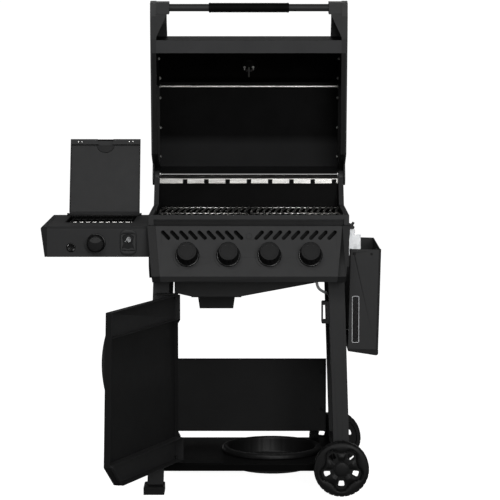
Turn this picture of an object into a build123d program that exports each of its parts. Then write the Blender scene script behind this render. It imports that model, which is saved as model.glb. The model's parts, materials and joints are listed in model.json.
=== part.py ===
"""Four-burner gas barbecue on a two-wheeled cart, with a side burner and a folding side shelf.

Millimetres. The origin is on the floor, midway between the cart's left and right legs.
+X is the user's right, +Y points to the back, +Z is up.
Rest pose: lid, side burner lid and cart door open, right shelf folded down.
"""
from build123d import *
import os
from math import pi, radians, tan

# ---------------------------------------------------------------- driving dimensions
SHEET = 2.0                  # cart and shelf sheet metal
RUN_GAP = 0.05               # radial clearance of every pin, stem and axle

# cart
LEG_TOP_Z = 704.0
LEG_TOP_X = 310.4            # outer side of a leg at its top
LEG_SPLAY = 0.0332           # outward run per unit of drop
LEG_WIDTH = 52.0
LEG_DEPTH = 50.0
FRONT_Y = -245.0             # front face of the front legs and of the firebox
REAR_Y = 215.0               # rear face of the rear legs
FOOT_HEIGHT = 27.0
FOOT_FRONT_Y = -281.0        # the front foot reaches ahead of its leg
RIGHT_LEG_END_Z = 62.0
SHELF_TOP_Z = 97.0
SHELF_LIP = 26.0
SHELF_HALF_X = 278.0
BOTTLE_X, BOTTLE_Y = 78.0, -15.0
BOTTLE_RING_R = 169.0

# wheels
WHEEL_R = 90.0
WHEEL_WIDTH = 37.0
AXLE_X = 301.0
AXLE_R = 6.0
FRONT_WHEEL_Y = -309.0       # outer face of each wheel
REAR_WHEEL_Y = 269.0

# firebox
BOX_IN_X = 308.0             # inner faces of the two side castings
BOX_OUT_X = 325.0
RIM_Z = 914.0
BOX_REAR_Y = 229.0
GRID_Z = 896.0               # underside of the cooking grids
BURNER_X = (-198.0, -66.0, 66.0, 198.0)
BURNER_Z = 780.0

# control panel: one inclined face above a short vertical strip
PANEL_BEND = (-332.0, 724.0)           # Y, Z of the lower bend
PANEL_TOP = (-262.0, 880.0)
PANEL_RUN = ((PANEL_TOP[0] - PANEL_BEND[0]) ** 2 + (PANEL_TOP[1] - PANEL_BEND[1]) ** 2) ** 0.5
PANEL_TAPER = 16.0 / 156.0             # the panel narrows towards its bottom
PANEL_TOP_X = 328.0
END_CAP_WIDTH = 26.0
KNOB_UP = 71.5               # knob centres above the bend, along the face
BEZEL_THICK = 3.5
STEM_R = 3.0
MANIFOLD_Y, MANIFOLD_Z, MANIFOLD_R = -262.6, 763.8, 10.0

# side shelves, described as deployed on the right
TABLE_TOP_Z = 876.0
TABLE_FRONT_Y = -240.0
TABLE_BACK_Y = 192.0
TABLE_LOW_Z = 777.0
TABLE_INNER_X = 331.0
TABLE_OUTER_X = 675.0
TABLE_CAP = 20.0
FOLD_X, FOLD_Z = 342.0, 788.5
FOLD_PIN_R = 5.0
FOLD_DOWN = 91.4             # the folded shelf leans in slightly

# side burner
SB_X, SB_Y = -495.0, 33.0
SB_WIDE, SB_LONG = 228.0, 250.0
SB_HINGE_Y, SB_HINGE_Z = 168.0, 880.0
SB_PIN_R = 2.0
SB_LID_WIDE = 241.0
SB_LID_FRONT_Y = -100.0
SB_OPEN = 110.0

# lid, described as closed
HINGE_Y, HINGE_Z = 240.0, 1000.0
HINGE_PIN_R = 6.0
LID_OPEN = 82.4
LID_SHEET = 2.0
LID_SIDE_OUT_X = 332.0
LID_SIDE_IN_X = 312.0
LID_T = (-250.0, 915.0)
LID_F = (-250.0, 1012.0)
LID_K = (-63.0, 1192.0)
LID_B = (234.0, 1162.0)
LID_R = (230.0, 1016.0)
HANDLE_Y, HANDLE_Z = -355.0, 950.0
HANDLE_TUBE_R = 12.5

# door, described as closed
DOOR_LEFT_X = -250.0
DOOR_TOP_X, DOOR_BOTTOM_X = 238.0, 262.0
DOOR_CORNER = 80.0           # X minus Z along the corner cut away round the front wheel
DOOR_LOW_Z, DOOR_HIGH_Z = 112.0, 655.0
DOOR_OUT_Y, DOOR_IN_Y = -268.0, -247.0
DOOR_LOW_LINER_Y = -236.0    # the bottom channel is deeper than the door
DOOR_PIN_X, DOOR_PIN_Y = -237.0, -257.0
DOOR_OPEN = 113.4
DOOR_PIN_R = 4.0

# grease tray
TRAY_RIM_Z = 697.3

os.makedirs("parts", exist_ok=True)

LID_AXIS = Axis((0, HINGE_Y, HINGE_Z), (1, 0, 0))
SB_AXIS = Axis((0, SB_HINGE_Y, SB_HINGE_Z), (1, 0, 0))
FOLD_AXIS = Axis((FOLD_X, 0, FOLD_Z), (0, 1, 0))
DOOR_AXIS = Axis((DOOR_PIN_X, DOOR_PIN_Y, 0), (0, 0, 1))
PANEL = Plane(
    origin=(0, *PANEL_BEND),
    x_dir=(1, 0, 0),
    z_dir=(0, PANEL_BEND[1] - PANEL_TOP[1], PANEL_TOP[0] - PANEL_BEND[0]),
)


def save(part, name):
    """Name a finished piece and write it."""
    part.label = name
    export_step(part, f"parts/{name}.step")


def lid_opened(part):
    """The piece, drawn on the closed lid, moved to the open lid."""
    return part.rotate(LID_AXIS, -LID_OPEN)


def folded(part):
    """The piece, drawn on the deployed shelf, moved to the folded shelf."""
    return part.rotate(FOLD_AXIS, FOLD_DOWN)


def door_opened(part):
    """The piece, drawn on the closed door, moved to the open door."""
    return part.rotate(DOOR_AXIS, -DOOR_OPEN)


def leg_outer_x(z):
    """Outer side of a leg at height z."""
    return LEG_TOP_X + LEG_SPLAY * (LEG_TOP_Z - z)


def slab(x0, x1, y0, y1, z0, z1, mode=Mode.ADD):
    """A box between two corners, joined to or cut from the open part."""
    with BuildSketch(Plane.XY.offset(z0)) as section:
        with Locations(((x0 + x1) / 2, (y0 + y1) / 2)):
            Rectangle(x1 - x0, y1 - y0)
    extrude(section.sketch, amount=z1 - z0, mode=mode)


def bar_x(x0, x1, points, mode=Mode.ADD):
    """A bar along X whose section is the polygon of (Y, Z) points."""
    with BuildSketch(Plane.YZ.offset(x0)) as section:
        Polygon(*points, align=None)
    extrude(section.sketch, amount=x1 - x0, mode=mode)


def rod_x(x0, x1, y, z, r, mode=Mode.ADD):
    """A round bar along X."""
    with BuildSketch(Plane.YZ.offset(x0)) as section:
        with Locations((y, z)):
            Circle(r)
    extrude(section.sketch, amount=x1 - x0, mode=mode)


def rod_y(y0, y1, x, z, r, mode=Mode.ADD):
    """A round bar along Y."""
    with BuildSketch(Plane.XZ.offset(-y1)) as section:
        with Locations((x, z)):
            Circle(r)
    extrude(section.sketch, amount=y1 - y0, mode=mode)


def rod_z(z0, z1, x, y, r, mode=Mode.ADD):
    """A round bar along Z."""
    with BuildSketch(Plane.XY.offset(z0)) as section:
        with Locations((x, y)):
            Circle(r)
    extrude(section.sketch, amount=z1 - z0, mode=mode)


def bent_sheet(x0, x1, points, thick, side=Side.LEFT):
    """A folded sheet along X: the (Y, Z) fold line, thickened to one side."""
    with BuildSketch(Plane.YZ.offset(x0)) as section:
        with BuildLine():
            Polyline(*points)
            offset(amount=thick, side=side, kind=Kind.INTERSECTION)
        make_face()
    extrude(section.sketch, amount=x1 - x0)


# ---------------------------------------------------------------- cart: legs and feet
def add_leg(side, end_z, open_y, face_y):
    """One splayed channel leg, open towards the middle of the cart."""
    reach = abs(face_y - open_y)
    toward = 1 if face_y < open_y else -1

    def outline(inset):
        rows = []
        for z, edge in ((LEG_TOP_Z, 0), (LEG_TOP_Z, 1), (end_z, 1), (end_z, 0)):
            x = leg_outer_x(z) - inset if edge == 0 else leg_outer_x(z) - LEG_WIDTH + inset
            rows.append((side * x, z))
        return rows

    with BuildSketch(Plane.XZ.offset(-open_y)) as outer:
        Polygon(*outline(0), align=None)
    extrude(outer.sketch, amount=reach, dir=(0, -toward, 0))
    with BuildSketch(Plane.XZ.offset(-open_y)) as inner:
        Polygon(*outline(SHEET), align=None)
    extrude(inner.sketch, amount=reach - SHEET, dir=(0, -toward, 0), mode=Mode.SUBTRACT)


with BuildPart() as front_legs:
    add_leg(-1, FOOT_HEIGHT, FRONT_Y + LEG_DEPTH, FRONT_Y)
    add_leg(1, RIGHT_LEG_END_Z, FRONT_Y + LEG_DEPTH, FRONT_Y)
    rod_y(FRONT_Y - 1, FRONT_Y + 5, AXLE_X, WHEEL_R, AXLE_R, Mode.SUBTRACT)
save(front_legs.part, "front_legs")

with BuildPart() as rear_legs:
    add_leg(-1, FOOT_HEIGHT, REAR_Y - LEG_DEPTH, REAR_Y)
    add_leg(1, RIGHT_LEG_END_Z, REAR_Y - LEG_DEPTH, REAR_Y)
    rod_y(REAR_Y - 5, REAR_Y + 1, AXLE_X, WHEEL_R, AXLE_R, Mode.SUBTRACT)
save(rear_legs.part, "rear_legs")

with BuildPart() as leg_feet:
    for front, back in ((FOOT_FRONT_Y, FRONT_Y + 55), (REAR_Y - 57, REAR_Y + 7)):
        slab(-344, -276, front, back, 0, FOOT_HEIGHT)
    chamfer(leg_feet.edges().group_by(Axis.Z)[-1], 3)
save(leg_feet.part, "leg_feet")

# ---------------------------------------------------------------- cart: shelf, rails, back, bottle well
with BuildPart() as side_rails:
    slab(280, 300, FRONT_Y + LEG_DEPTH, REAR_Y - LEG_DEPTH, 97, 127)
    slab(280 + SHEET, 300 - SHEET, FRONT_Y + LEG_DEPTH, REAR_Y - LEG_DEPTH, 97, 125, Mode.SUBTRACT)
    slab(246, BOX_IN_X, -190, 160, TRAY_RIM_Z - 2.3, TRAY_RIM_Z - 0.3)
    slab(BOX_IN_X - SHEET, BOX_IN_X, -190, 160, TRAY_RIM_Z - 0.3, 710)
    mirror(about=Plane.YZ)
save(side_rails.part, "side_rails")

with BuildPart() as bottom_shelf:
    slab(-SHELF_HALF_X, SHELF_HALF_X, -240, 211, SHELF_TOP_Z - SHELF_LIP, SHELF_TOP_Z)
    fillet(bottom_shelf.edges().group_by(Axis.Z)[-1], 4)
    slab(
        -SHELF_HALF_X + SHEET, SHELF_HALF_X - SHEET, -240 + SHEET, 211 - SHEET,
        SHELF_TOP_Z - SHELF_LIP, SHELF_TOP_Z - SHEET, Mode.SUBTRACT,
    )
    rod_z(SHELF_TOP_Z - 5, SHELF_TOP_Z + 1, BOTTLE_X, BOTTLE_Y, BOTTLE_RING_R - 18, Mode.SUBTRACT)
save(bottom_shelf.part, "bottom_shelf")

with BuildPart() as bottle_well:
    with BuildSketch(Plane.XZ):
        with BuildLine():
            Polyline(
                (0, 40), (124, 40), (149.5, 62), (149.5, SHELF_TOP_Z), (BOTTLE_RING_R, SHELF_TOP_Z),
                (BOTTLE_RING_R, 106), (164, 114.5), (150, 114.5), (146, 110), (146, 64), (122, 43),
                (0, 43), (0, 40),
            )
        make_face()
    revolve(axis=Axis.Z)
save(bottle_well.part.moved(Location((BOTTLE_X, BOTTLE_Y, 0))), "bottle_well")

with BuildPart() as back_panel:
    slab(-268, 268, 205, 207, 121, 375)
    slab(-268, 268, 195, 205, 373, 375)
    slab(-268, 268, 195, 205, 121, 123)
save(back_panel.part, "back_panel")

# ---------------------------------------------------------------- cart: door catch
with BuildPart() as door_catch:
    slab(236.5, 260.6, -240, -206, 559, 631)
    slab(241.5, 253.5, -241, -205, 570, 620, Mode.SUBTRACT)
    fillet(door_catch.edges().filter_by(Axis.Y).group_by(Axis.X)[0], 4)
save(door_catch.part, "door_catch")

# ---------------------------------------------------------------- wheels and axle
with BuildPart() as wheel_axle:
    rod_y(FRONT_WHEEL_Y + 6, REAR_WHEEL_Y - 6, AXLE_X, WHEEL_R, AXLE_R)
save(wheel_axle.part, "wheel_axle")


def make_wheel(name, outer_y, outward):
    """A moulded wheel with five windows. Its face is at outer_y and looks along outward, -1 to the front."""
    face = Plane(origin=(AXLE_X, outer_y, WHEEL_R), x_dir=(1, 0, 0), z_dir=(0, outward, 0))
    leg_face = FRONT_Y if outward < 0 else REAR_Y
    hub_length = abs(outer_y - leg_face) - 1.5
    with BuildPart() as wheel:
        with BuildSketch(face.offset(-WHEEL_WIDTH)):
            Circle(WHEEL_R)
        extrude(amount=WHEEL_WIDTH)
        fillet(wheel.edges().filter_by(GeomType.CIRCLE), 7)
        with BuildSketch(face.offset(-11)):
            Circle(WHEEL_R - 14)
            Circle(25, mode=Mode.SUBTRACT)
        extrude(amount=12, mode=Mode.SUBTRACT)
        with BuildSketch(face.offset(-WHEEL_WIDTH - 1)):
            Circle(WHEEL_R - 14)
            Circle(20, mode=Mode.SUBTRACT)
        extrude(amount=12, mode=Mode.SUBTRACT)
        with BuildSketch(face.offset(-WHEEL_WIDTH - 1)):
            with PolarLocations(49, 5, start_angle=-90):
                RectangleRounded(22, 18, 5)
        extrude(amount=WHEEL_WIDTH + 2, mode=Mode.SUBTRACT)
        with BuildSketch(face.offset(-hub_length)):
            Circle(20)
        extrude(amount=hub_length)
        with BuildSketch(face.offset(-hub_length - 1)):
            Circle(AXLE_R + RUN_GAP)
        extrude(amount=hub_length - 4, mode=Mode.SUBTRACT)
    save(wheel.part, name)


make_wheel("front_wheel", FRONT_WHEEL_Y, -1)
make_wheel("rear_wheel", REAR_WHEEL_Y, 1)

# ---------------------------------------------------------------- firebox
SHELF_HOOK = 3.5             # thickness of the lug on the right side casting, ahead of the side shelf

with BuildPart() as firebox_sides:
    bar_x(BOX_IN_X, BOX_OUT_X, [
        (FRONT_Y, 745), (FRONT_Y, RIM_Z), (150, RIM_Z), (214, 1002), (240, 1006), (266, 1002),
        (262, 745), (218, 705), (-205, 705),
    ])
    bar_x(BOX_IN_X - 1, BOX_OUT_X - 5, [
        (-233, 757), (-233, RIM_Z - 24), (200, RIM_Z - 24), (200, 757), (186, 717), (-190, 717),
    ], Mode.SUBTRACT)
    rod_x(BOX_IN_X, BOX_OUT_X, HINGE_Y, HINGE_Z, 25)
    rod_x(BOX_IN_X - 1, BOX_OUT_X + 1, HINGE_Y, HINGE_Z, HINGE_PIN_R, Mode.SUBTRACT)
    mirror(about=Plane.YZ)
    with BuildSketch(Plane.XZ.offset(-FRONT_Y - SHELF_HOOK)):
        Polygon(
            (324, 868), (340, 868), (343, 875), (338, 880), (343, 889), (336, 893), (331, 886), (324, 889),
            align=None,
        )
    extrude(amount=SHELF_HOOK)
save(firebox_sides.part, "firebox_sides")

with BuildPart() as firebox_front_wall:
    bar_x(-BOX_IN_X, BOX_IN_X, [(FRONT_Y, 899), (FRONT_Y, RIM_Z), (-236, RIM_Z), (-236, 899)])
    bar_x(-BOX_IN_X, BOX_IN_X, [(-237, 755), (-237, 900), (-234.5, 900), (-234.5, 755)])
    bar_x(-BOX_IN_X, BOX_IN_X, [(-236, GRID_Z - 3.5), (-236, GRID_Z), (-224, GRID_Z), (-224, GRID_Z - 3.5)])
    bar_x(-BOX_IN_X, BOX_IN_X, [(-237, 755), (-234.5, 757), (-172, 714), (-174, 711)])
    for x in BURNER_X:
        rod_y(-246, -232, x, BURNER_Z, 13.5, Mode.SUBTRACT)
save(firebox_front_wall.part, "firebox_front_wall")

with BuildPart() as firebox_rear_wall:
    bar_x(-BOX_IN_X, BOX_IN_X, [(226, 755), (226, 982), (BOX_REAR_Y, 982), (BOX_REAR_Y, 755)])
    bar_x(
        -BOX_IN_X + 1, BOX_IN_X - 1,
        [(228.5, 972), (228.5, 974), (231.4, 974), (231.4, 996), (233.4, 996), (233.4, 972)],
    )
    bar_x(-BOX_IN_X, BOX_IN_X, [(212, GRID_Z - 3.5), (212, GRID_Z), (227, GRID_Z), (227, GRID_Z - 3.5)])
    bar_x(-BOX_IN_X, BOX_IN_X, [(226, 757), (BOX_REAR_Y, 755), (172, 711), (170, 714)])
save(firebox_rear_wall.part, "firebox_rear_wall")

NOTCH_PITCH = 73.4
NOTCH_HALF = 8.0
with BuildPart() as heat_deflector:
    bent_sheet(
        -BOX_IN_X + 1, BOX_IN_X - 1, [(229.2, 976), (229.2, 998), (238, 1005), (249.5, 1011.5)],
        1.2, Side.RIGHT,
    )
    for step in range(-3, 5):
        notch_x = step * NOTCH_PITCH
        slab(notch_x - NOTCH_HALF, notch_x + NOTCH_HALF, 228, 234, 979, 996, Mode.SUBTRACT)
save(heat_deflector.part, "heat_deflector")

with BuildPart() as tube_burners:
    for x in BURNER_X:
        rod_y(-250, 205, x, BURNER_Z, 12.7)
        rod_y(-251, 202, x, BURNER_Z, 11.2, Mode.SUBTRACT)
save(tube_burners.part, "tube_burners")

TAMER_HALF, TAMER_LOW, TAMER_RISE = 60.0, 815.0, 34.0
with BuildPart() as flame_tamers:
    with BuildSketch(Plane.XZ.offset(-225)):
        for x in BURNER_X:
            Polygon(
                (x - TAMER_HALF, TAMER_LOW), (x, TAMER_LOW + TAMER_RISE), (x + TAMER_HALF, TAMER_LOW),
                (x + TAMER_HALF - 3, TAMER_LOW), (x, TAMER_LOW + TAMER_RISE - 2),
                (x - TAMER_HALF + 3, TAMER_LOW), align=None,
            )
    extrude(amount=458)
save(flame_tamers.part, "flame_tamers")

with BuildPart() as spark_electrodes:
    for x in BURNER_X:
        rod_y(-233.5, -190, x + 22, BURNER_Z + 12, 3.5)
        rod_y(-190, -178, x + 22, BURNER_Z + 12, 1.2)
save(spark_electrodes.part, "spark_electrodes")

# ---------------------------------------------------------------- gas supply
with BuildPart() as gas_manifold:
    rod_x(-232, 232, MANIFOLD_Y, MANIFOLD_Z, MANIFOLD_R)
    rod_z(742, MANIFOLD_Z, 218, MANIFOLD_Y, 8)
    rod_z(742, 750, 218, MANIFOLD_Y, 9.5)
save(gas_manifold.part, "gas_manifold")


def knob_plane(x):
    """The plane on the panel face that a main burner knob turns on."""
    return Plane(origin=PANEL.from_local_coords((x, KNOB_UP, 0)), x_dir=PANEL.x_dir, z_dir=PANEL.z_dir)


SIDE_KNOB_PLANE = Plane(origin=(-495, TABLE_FRONT_Y, 823), x_dir=(1, 0, 0), z_dir=(0, -1, 0))

with BuildPart() as burner_valves:
    for x in BURNER_X:
        with BuildSketch(knob_plane(x).offset(-38)):
            Circle(11)
        extrude(amount=35)
        with BuildSketch(knob_plane(x).offset(-5)):
            Circle(STEM_R)
        extrude(amount=30)
        rod_y(-287, -250, x, BURNER_Z, 5)
    with BuildSketch(SIDE_KNOB_PLANE.offset(-60)):
        Circle(10)
    extrude(amount=57)
    with BuildSketch(SIDE_KNOB_PLANE.offset(-5)):
        Circle(STEM_R)
    extrude(amount=27)
    rod_x(-233, 233, MANIFOLD_Y, MANIFOLD_Z, MANIFOLD_R, Mode.SUBTRACT)
save(burner_valves.part, "burner_valves")

# The hose leaves the manifold elbow downwards, passes behind the right front leg and hangs to the regulator.
HOSE_R = 4.5
HOSE_ROUTE = [
    (218, -262.6, 742), (218, -262.6, 706), (224, -240, 675), (246, -203, 657), (276, -168, 642),
    (293, -146, 606), (298, -138, 552), (299, -136, 490), (296, -133, 425), (298, -135, 350),
    (298, -135, 275),
]


def route_radii(points):
    """An arc radius for every corner: 0.45 of the shorter run over the tangent of half the turn."""
    radii = []
    for before, here, after in zip(points, points[1:], points[2:]):
        arriving = Vector(*here) - Vector(*before)
        leaving = Vector(*after) - Vector(*here)
        half_turn = radians(arriving.get_angle(leaving)) / 2
        radii.append(0.45 * min(arriving.length, leaving.length) / tan(half_turn))
    return radii


HOSE_RADII = route_radii(HOSE_ROUTE)
with BuildPart() as gas_hose:
    with BuildLine() as hose_line:
        FilletPolyline(*HOSE_ROUTE, radius=HOSE_RADII)
    with BuildSketch(Plane(origin=hose_line.line @ 0, z_dir=hose_line.line % 0)):
        Circle(HOSE_R)
    sweep()
print("hose radii", [round(r, 1) for r in HOSE_RADII])
HOSE_LENGTH = hose_line.wires()[0].length
print("hose length", round(HOSE_LENGTH, 1))
print("hose volume", round(gas_hose.part.volume), "section times length", round(pi * HOSE_R**2 * HOSE_LENGTH))
save(gas_hose.part, "gas_hose")

REG_X, REG_Y, REG_TOP = HOSE_ROUTE[-1]
with BuildPart() as gas_regulator:
    rod_z(REG_TOP - 34, REG_TOP, REG_X, REG_Y, 8)
    with BuildSketch(Plane.YZ.offset(REG_X - 17)):
        with Locations((REG_Y, REG_TOP - 66)):
            Circle(34)
    extrude(amount=34)
    rod_z(REG_TOP - 118, REG_TOP - 96, REG_X, REG_Y, 9)
    rod_z(REG_TOP - 138, REG_TOP - 112, REG_X, REG_Y, 16)
    fillet(gas_regulator.edges().filter_by(GeomType.CIRCLE).group_by(SortBy.LENGTH)[-1], 5)
save(gas_regulator.part, "gas_regulator")

# ---------------------------------------------------------------- control panel


def panel_half_x(z):
    """Outer half width of the panel at height z."""
    return PANEL_TOP_X - PANEL_TAPER * (PANEL_TOP[1] - z)


SLOT_PITCH = 29.4
SLOT_FIRST_X = 33.1
SLOT_UP = 140.0
SLOT_ANGLE = 47.0
with BuildPart() as control_panel:
    bent_sheet(
        -PANEL_TOP_X, PANEL_TOP_X,
        [(-248, 881), (PANEL_TOP[0], PANEL_TOP[1]), PANEL_BEND, (-325, 705), (-300, 705)],
        SHEET, Side.LEFT,
    )
    with BuildSketch(Plane.XZ.offset(240)):
        Polygon(
            (-panel_half_x(890) + END_CAP_WIDTH, 890), (panel_half_x(890) - END_CAP_WIDTH, 890),
            (panel_half_x(700) - END_CAP_WIDTH, 700), (-panel_half_x(700) + END_CAP_WIDTH, 700), align=None,
        )
    extrude(amount=110, mode=Mode.INTERSECT)
    with BuildSketch(PANEL.offset(-20)):
        for x in BURNER_X:
            with Locations((x, KNOB_UP)):
                Circle(7)
        for side in (-1, 1):
            for step in range(9):
                with Locations((side * (SLOT_FIRST_X + step * SLOT_PITCH), SLOT_UP)):
                    SlotCenterToCenter(27, 12, rotation=side * SLOT_ANGLE)
    extrude(amount=24, mode=Mode.SUBTRACT)
save(control_panel.part, "control_panel")

END_CAP_WALL = 3.0
with BuildPart() as panel_end_caps:
    bar_x(270, 332, [
        (FRONT_Y, 882), (PANEL_TOP[0] - 1, 882), (PANEL_BEND[0] - 1.5, 724), (-326.5, 704), (FRONT_Y, 704),
    ])
    bar_x(269, 332 - END_CAP_WALL - 14, [
        (FRONT_Y - 3, 878), (-260, 878), (-327.5, 725), (-322, 708), (FRONT_Y - 3, 708),
    ], Mode.SUBTRACT)
    with BuildSketch(Plane.XZ.offset(240)):
        Polygon(
            (panel_half_x(890) - END_CAP_WIDTH, 890), (panel_half_x(890), 890),
            (panel_half_x(700), 700), (panel_half_x(700) - END_CAP_WIDTH, 700), align=None,
        )
    extrude(amount=110, mode=Mode.INTERSECT)
    mirror(about=Plane.YZ)
save(panel_end_caps.part, "panel_end_caps")

with BuildPart() as knob_bezels:
    for x in BURNER_X:
        with BuildSketch(knob_plane(x)):
            Circle(39)
            Circle(8, mode=Mode.SUBTRACT)
        extrude(amount=BEZEL_THICK)
    with BuildSketch(SIDE_KNOB_PLANE):
        Circle(31)
        Circle(8, mode=Mode.SUBTRACT)
    extrude(amount=BEZEL_THICK)
    with BuildSketch(Plane(origin=(-577, TABLE_FRONT_Y, 808), x_dir=(1, 0, 0), z_dir=(0, -1, 0))):
        Circle(15)
        Circle(11.4, mode=Mode.SUBTRACT)
    extrude(amount=BEZEL_THICK)
save(knob_bezels.part, "knob_bezels")


def make_knob(name, plane, radius, height):
    """A fluted knob with a skirt, a raised pointer and a blind bore for its valve stem."""
    skirt = 7.0
    base = BEZEL_THICK + 0.6
    grip = radius * 0.92
    with BuildPart() as knob:
        with BuildSketch(plane.offset(base)):
            Circle(radius)
        extrude(amount=skirt, taper=6)
        with BuildSketch(plane.offset(base + skirt)):
            Circle(grip)
            with PolarLocations(grip + 3.2, 14):
                Circle(5, mode=Mode.SUBTRACT)
        extrude(amount=height - base - skirt, taper=2)
        with BuildSketch(plane.offset(height - 4)):
            Circle(grip - 5)
            Circle(grip - 6.5, mode=Mode.SUBTRACT)
        extrude(amount=5, mode=Mode.SUBTRACT)
        with BuildSketch(plane.offset(height)):
            with Locations((0, grip * 0.45)):
                SlotOverall(grip * 0.55, 4, rotation=90)
        extrude(amount=1.5)
        with BuildSketch(plane.offset(base - 1)):
            Circle(STEM_R + RUN_GAP)
        extrude(amount=28 - base, mode=Mode.SUBTRACT)
    save(knob.part, name)


for number, x in enumerate(BURNER_X, start=1):
    make_knob(f"burner_knob_{number}", knob_plane(x), 35.0, 46.0)
make_knob("side_burner_knob", SIDE_KNOB_PLANE, 28.0, 36.0)

# ---------------------------------------------------------------- side shelves


def shelf_fascia(part_name, inner_x, return_x, place, holes, corner=0):
    """The front rail of a side shelf: bevelled top, bottom return, round holes and a cropped inner corner."""
    outer_x = TABLE_OUTER_X - TABLE_CAP
    with BuildPart() as fascia:
        bent_sheet(
            inner_x, outer_x,
            [(TABLE_FRONT_Y, TABLE_LOW_Z), (TABLE_FRONT_Y, 868), (-232, TABLE_TOP_Z), (-212, TABLE_TOP_Z)],
            SHEET, Side.RIGHT,
        )
        slab(return_x, outer_x, TABLE_FRONT_Y + 1, -225, TABLE_LOW_Z, TABLE_LOW_Z + SHEET)
        for hole_x, hole_z, hole_r in holes:
            rod_y(TABLE_FRONT_Y - 1, TABLE_FRONT_Y + 4, hole_x, hole_z, hole_r, Mode.SUBTRACT)
        if corner:
            with BuildSketch(Plane.XZ.offset(-TABLE_FRONT_Y - 4)):
                Polygon(
                    (inner_x - 1, TABLE_LOW_Z - 1), (inner_x + corner + 1, TABLE_LOW_Z - 1),
                    (inner_x - 1, TABLE_LOW_Z + corner + 1), align=None,
                )
            extrude(amount=5, mode=Mode.SUBTRACT)
    save(place(fascia.part), part_name)


def shelf_top(part_name, inner_x, place, opening, inner_skirt, rear_hole):
    """The shelf's top plate with its rear skirt."""
    outer_x = TABLE_OUTER_X - TABLE_CAP
    with BuildPart() as top:
        slab(inner_x, outer_x, -212, TABLE_BACK_Y, TABLE_TOP_Z - SHEET, TABLE_TOP_Z)
        slab(inner_x, outer_x, TABLE_BACK_Y - SHEET, TABLE_BACK_Y, TABLE_LOW_Z, TABLE_TOP_Z)
        if inner_skirt:
            slab(inner_x, inner_x + SHEET, -212, TABLE_BACK_Y, 800, TABLE_TOP_Z)
        if opening:
            slab(*opening, TABLE_TOP_Z - 5, TABLE_TOP_Z + 1, Mode.SUBTRACT)
        if rear_hole:
            rod_y(TABLE_BACK_Y - 4, TABLE_BACK_Y + 1, FOLD_X, FOLD_Z, FOLD_PIN_R + RUN_GAP, Mode.SUBTRACT)
    save(place(top.part), part_name)


def shelf_end_cap(part_name, place):
    """The moulded outer end of a side shelf, tapering inwards to its bottom edge."""
    inner = TABLE_OUTER_X - TABLE_CAP
    with BuildPart() as cap:
        with BuildSketch(Plane.XZ.offset(-TABLE_BACK_Y)):
            Polygon(
                (inner, TABLE_LOW_Z), (inner, TABLE_TOP_Z), (TABLE_OUTER_X - 4, TABLE_TOP_Z),
                (TABLE_OUTER_X, TABLE_TOP_Z - 6), (TABLE_OUTER_X - 12, TABLE_LOW_Z), align=None,
            )
        extrude(amount=TABLE_BACK_Y - TABLE_FRONT_Y)
        slab(
            inner - 1, inner + 5, TABLE_FRONT_Y + 4, TABLE_BACK_Y - 4,
            TABLE_LOW_Z + 4, TABLE_TOP_Z - 4, Mode.SUBTRACT,
        )
    save(place(cap.part), part_name)


def to_left(part):
    """The piece, drawn on the right, mirrored to the left."""
    return part.mirror(Plane.YZ)


LEFT_INNER_X = BOX_OUT_X
shelf_fascia("left_shelf_fascia", LEFT_INNER_X, LEFT_INNER_X, to_left, [(495, 823, 8), (577, 808, 11.5)])
shelf_top(
    "left_shelf_top", LEFT_INNER_X, to_left,
    (-SB_X - SB_WIDE / 2, -SB_X + SB_WIDE / 2, SB_Y - SB_LONG / 2, SB_Y + SB_LONG / 2), True, False,
)
shelf_end_cap("left_shelf_end_cap", to_left)
FASCIA_CORNER = 5.0
shelf_fascia(
    "right_shelf_fascia", TABLE_INNER_X - 3.5, TABLE_INNER_X + 44, folded,
    [(FOLD_X, FOLD_Z, FOLD_PIN_R + RUN_GAP)], FASCIA_CORNER,
)
shelf_top("right_shelf_top", TABLE_INNER_X, folded, None, False, True)
shelf_end_cap("right_shelf_end_cap", folded)

with BuildPart() as right_shelf_bracket:
    slab(BOX_OUT_X, BOX_OUT_X + 2, -232, 187, 781, 838)
    for ear_y, ear_top in ((-232, 866), (184, 826)):
        with BuildSketch(Plane.XZ.offset(-ear_y - 3)):
            Polygon(
                (BOX_OUT_X, 803), (334, 803), (334, 781), (363, 781), (363, ear_top - 15),
                (345, ear_top - 15), (344, ear_top), (BOX_OUT_X, ear_top), align=None,
            )
            with Locations((347, ear_top - 15)):
                Circle(4, mode=Mode.SUBTRACT)
        extrude(amount=3)
save(right_shelf_bracket.part, "right_shelf_bracket")

# ---------------------------------------------------------------- side burner
with BuildPart() as side_burner_pan:
    slab(
        SB_X - SB_WIDE / 2 + 0.5, SB_X + SB_WIDE / 2 - 0.5,
        SB_Y - SB_LONG / 2 + 0.5, SB_Y + SB_LONG / 2 - 0.5, 838, TABLE_TOP_Z - 1,
    )
    fillet(side_burner_pan.edges().group_by(Axis.Z)[0], 12)
    slab(
        SB_X - SB_WIDE / 2 + 2, SB_X + SB_WIDE / 2 - 2,
        SB_Y - SB_LONG / 2 + 2, SB_Y + SB_LONG / 2 - 2, 846, TABLE_TOP_Z, Mode.SUBTRACT,
    )
    slab(
        SB_X - SB_WIDE / 2 + 14, SB_X + SB_WIDE / 2 - 14,
        SB_Y - SB_LONG / 2 + 14, SB_Y + SB_LONG / 2 - 14, 840, 847, Mode.SUBTRACT,
    )
    rod_z(830, 850, SB_X, SB_Y, 16, Mode.SUBTRACT)
save(side_burner_pan.part, "side_burner_pan")

with BuildPart() as side_burner_head:
    rod_z(806, 852, SB_X, SB_Y, 15)
    rod_z(848, 856, SB_X, SB_Y, 40)
    rod_z(856, 861, SB_X, SB_Y, 33)
    rod_y(-180, SB_Y, SB_X, 820, 13)
save(side_burner_head.part, "side_burner_head")

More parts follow.
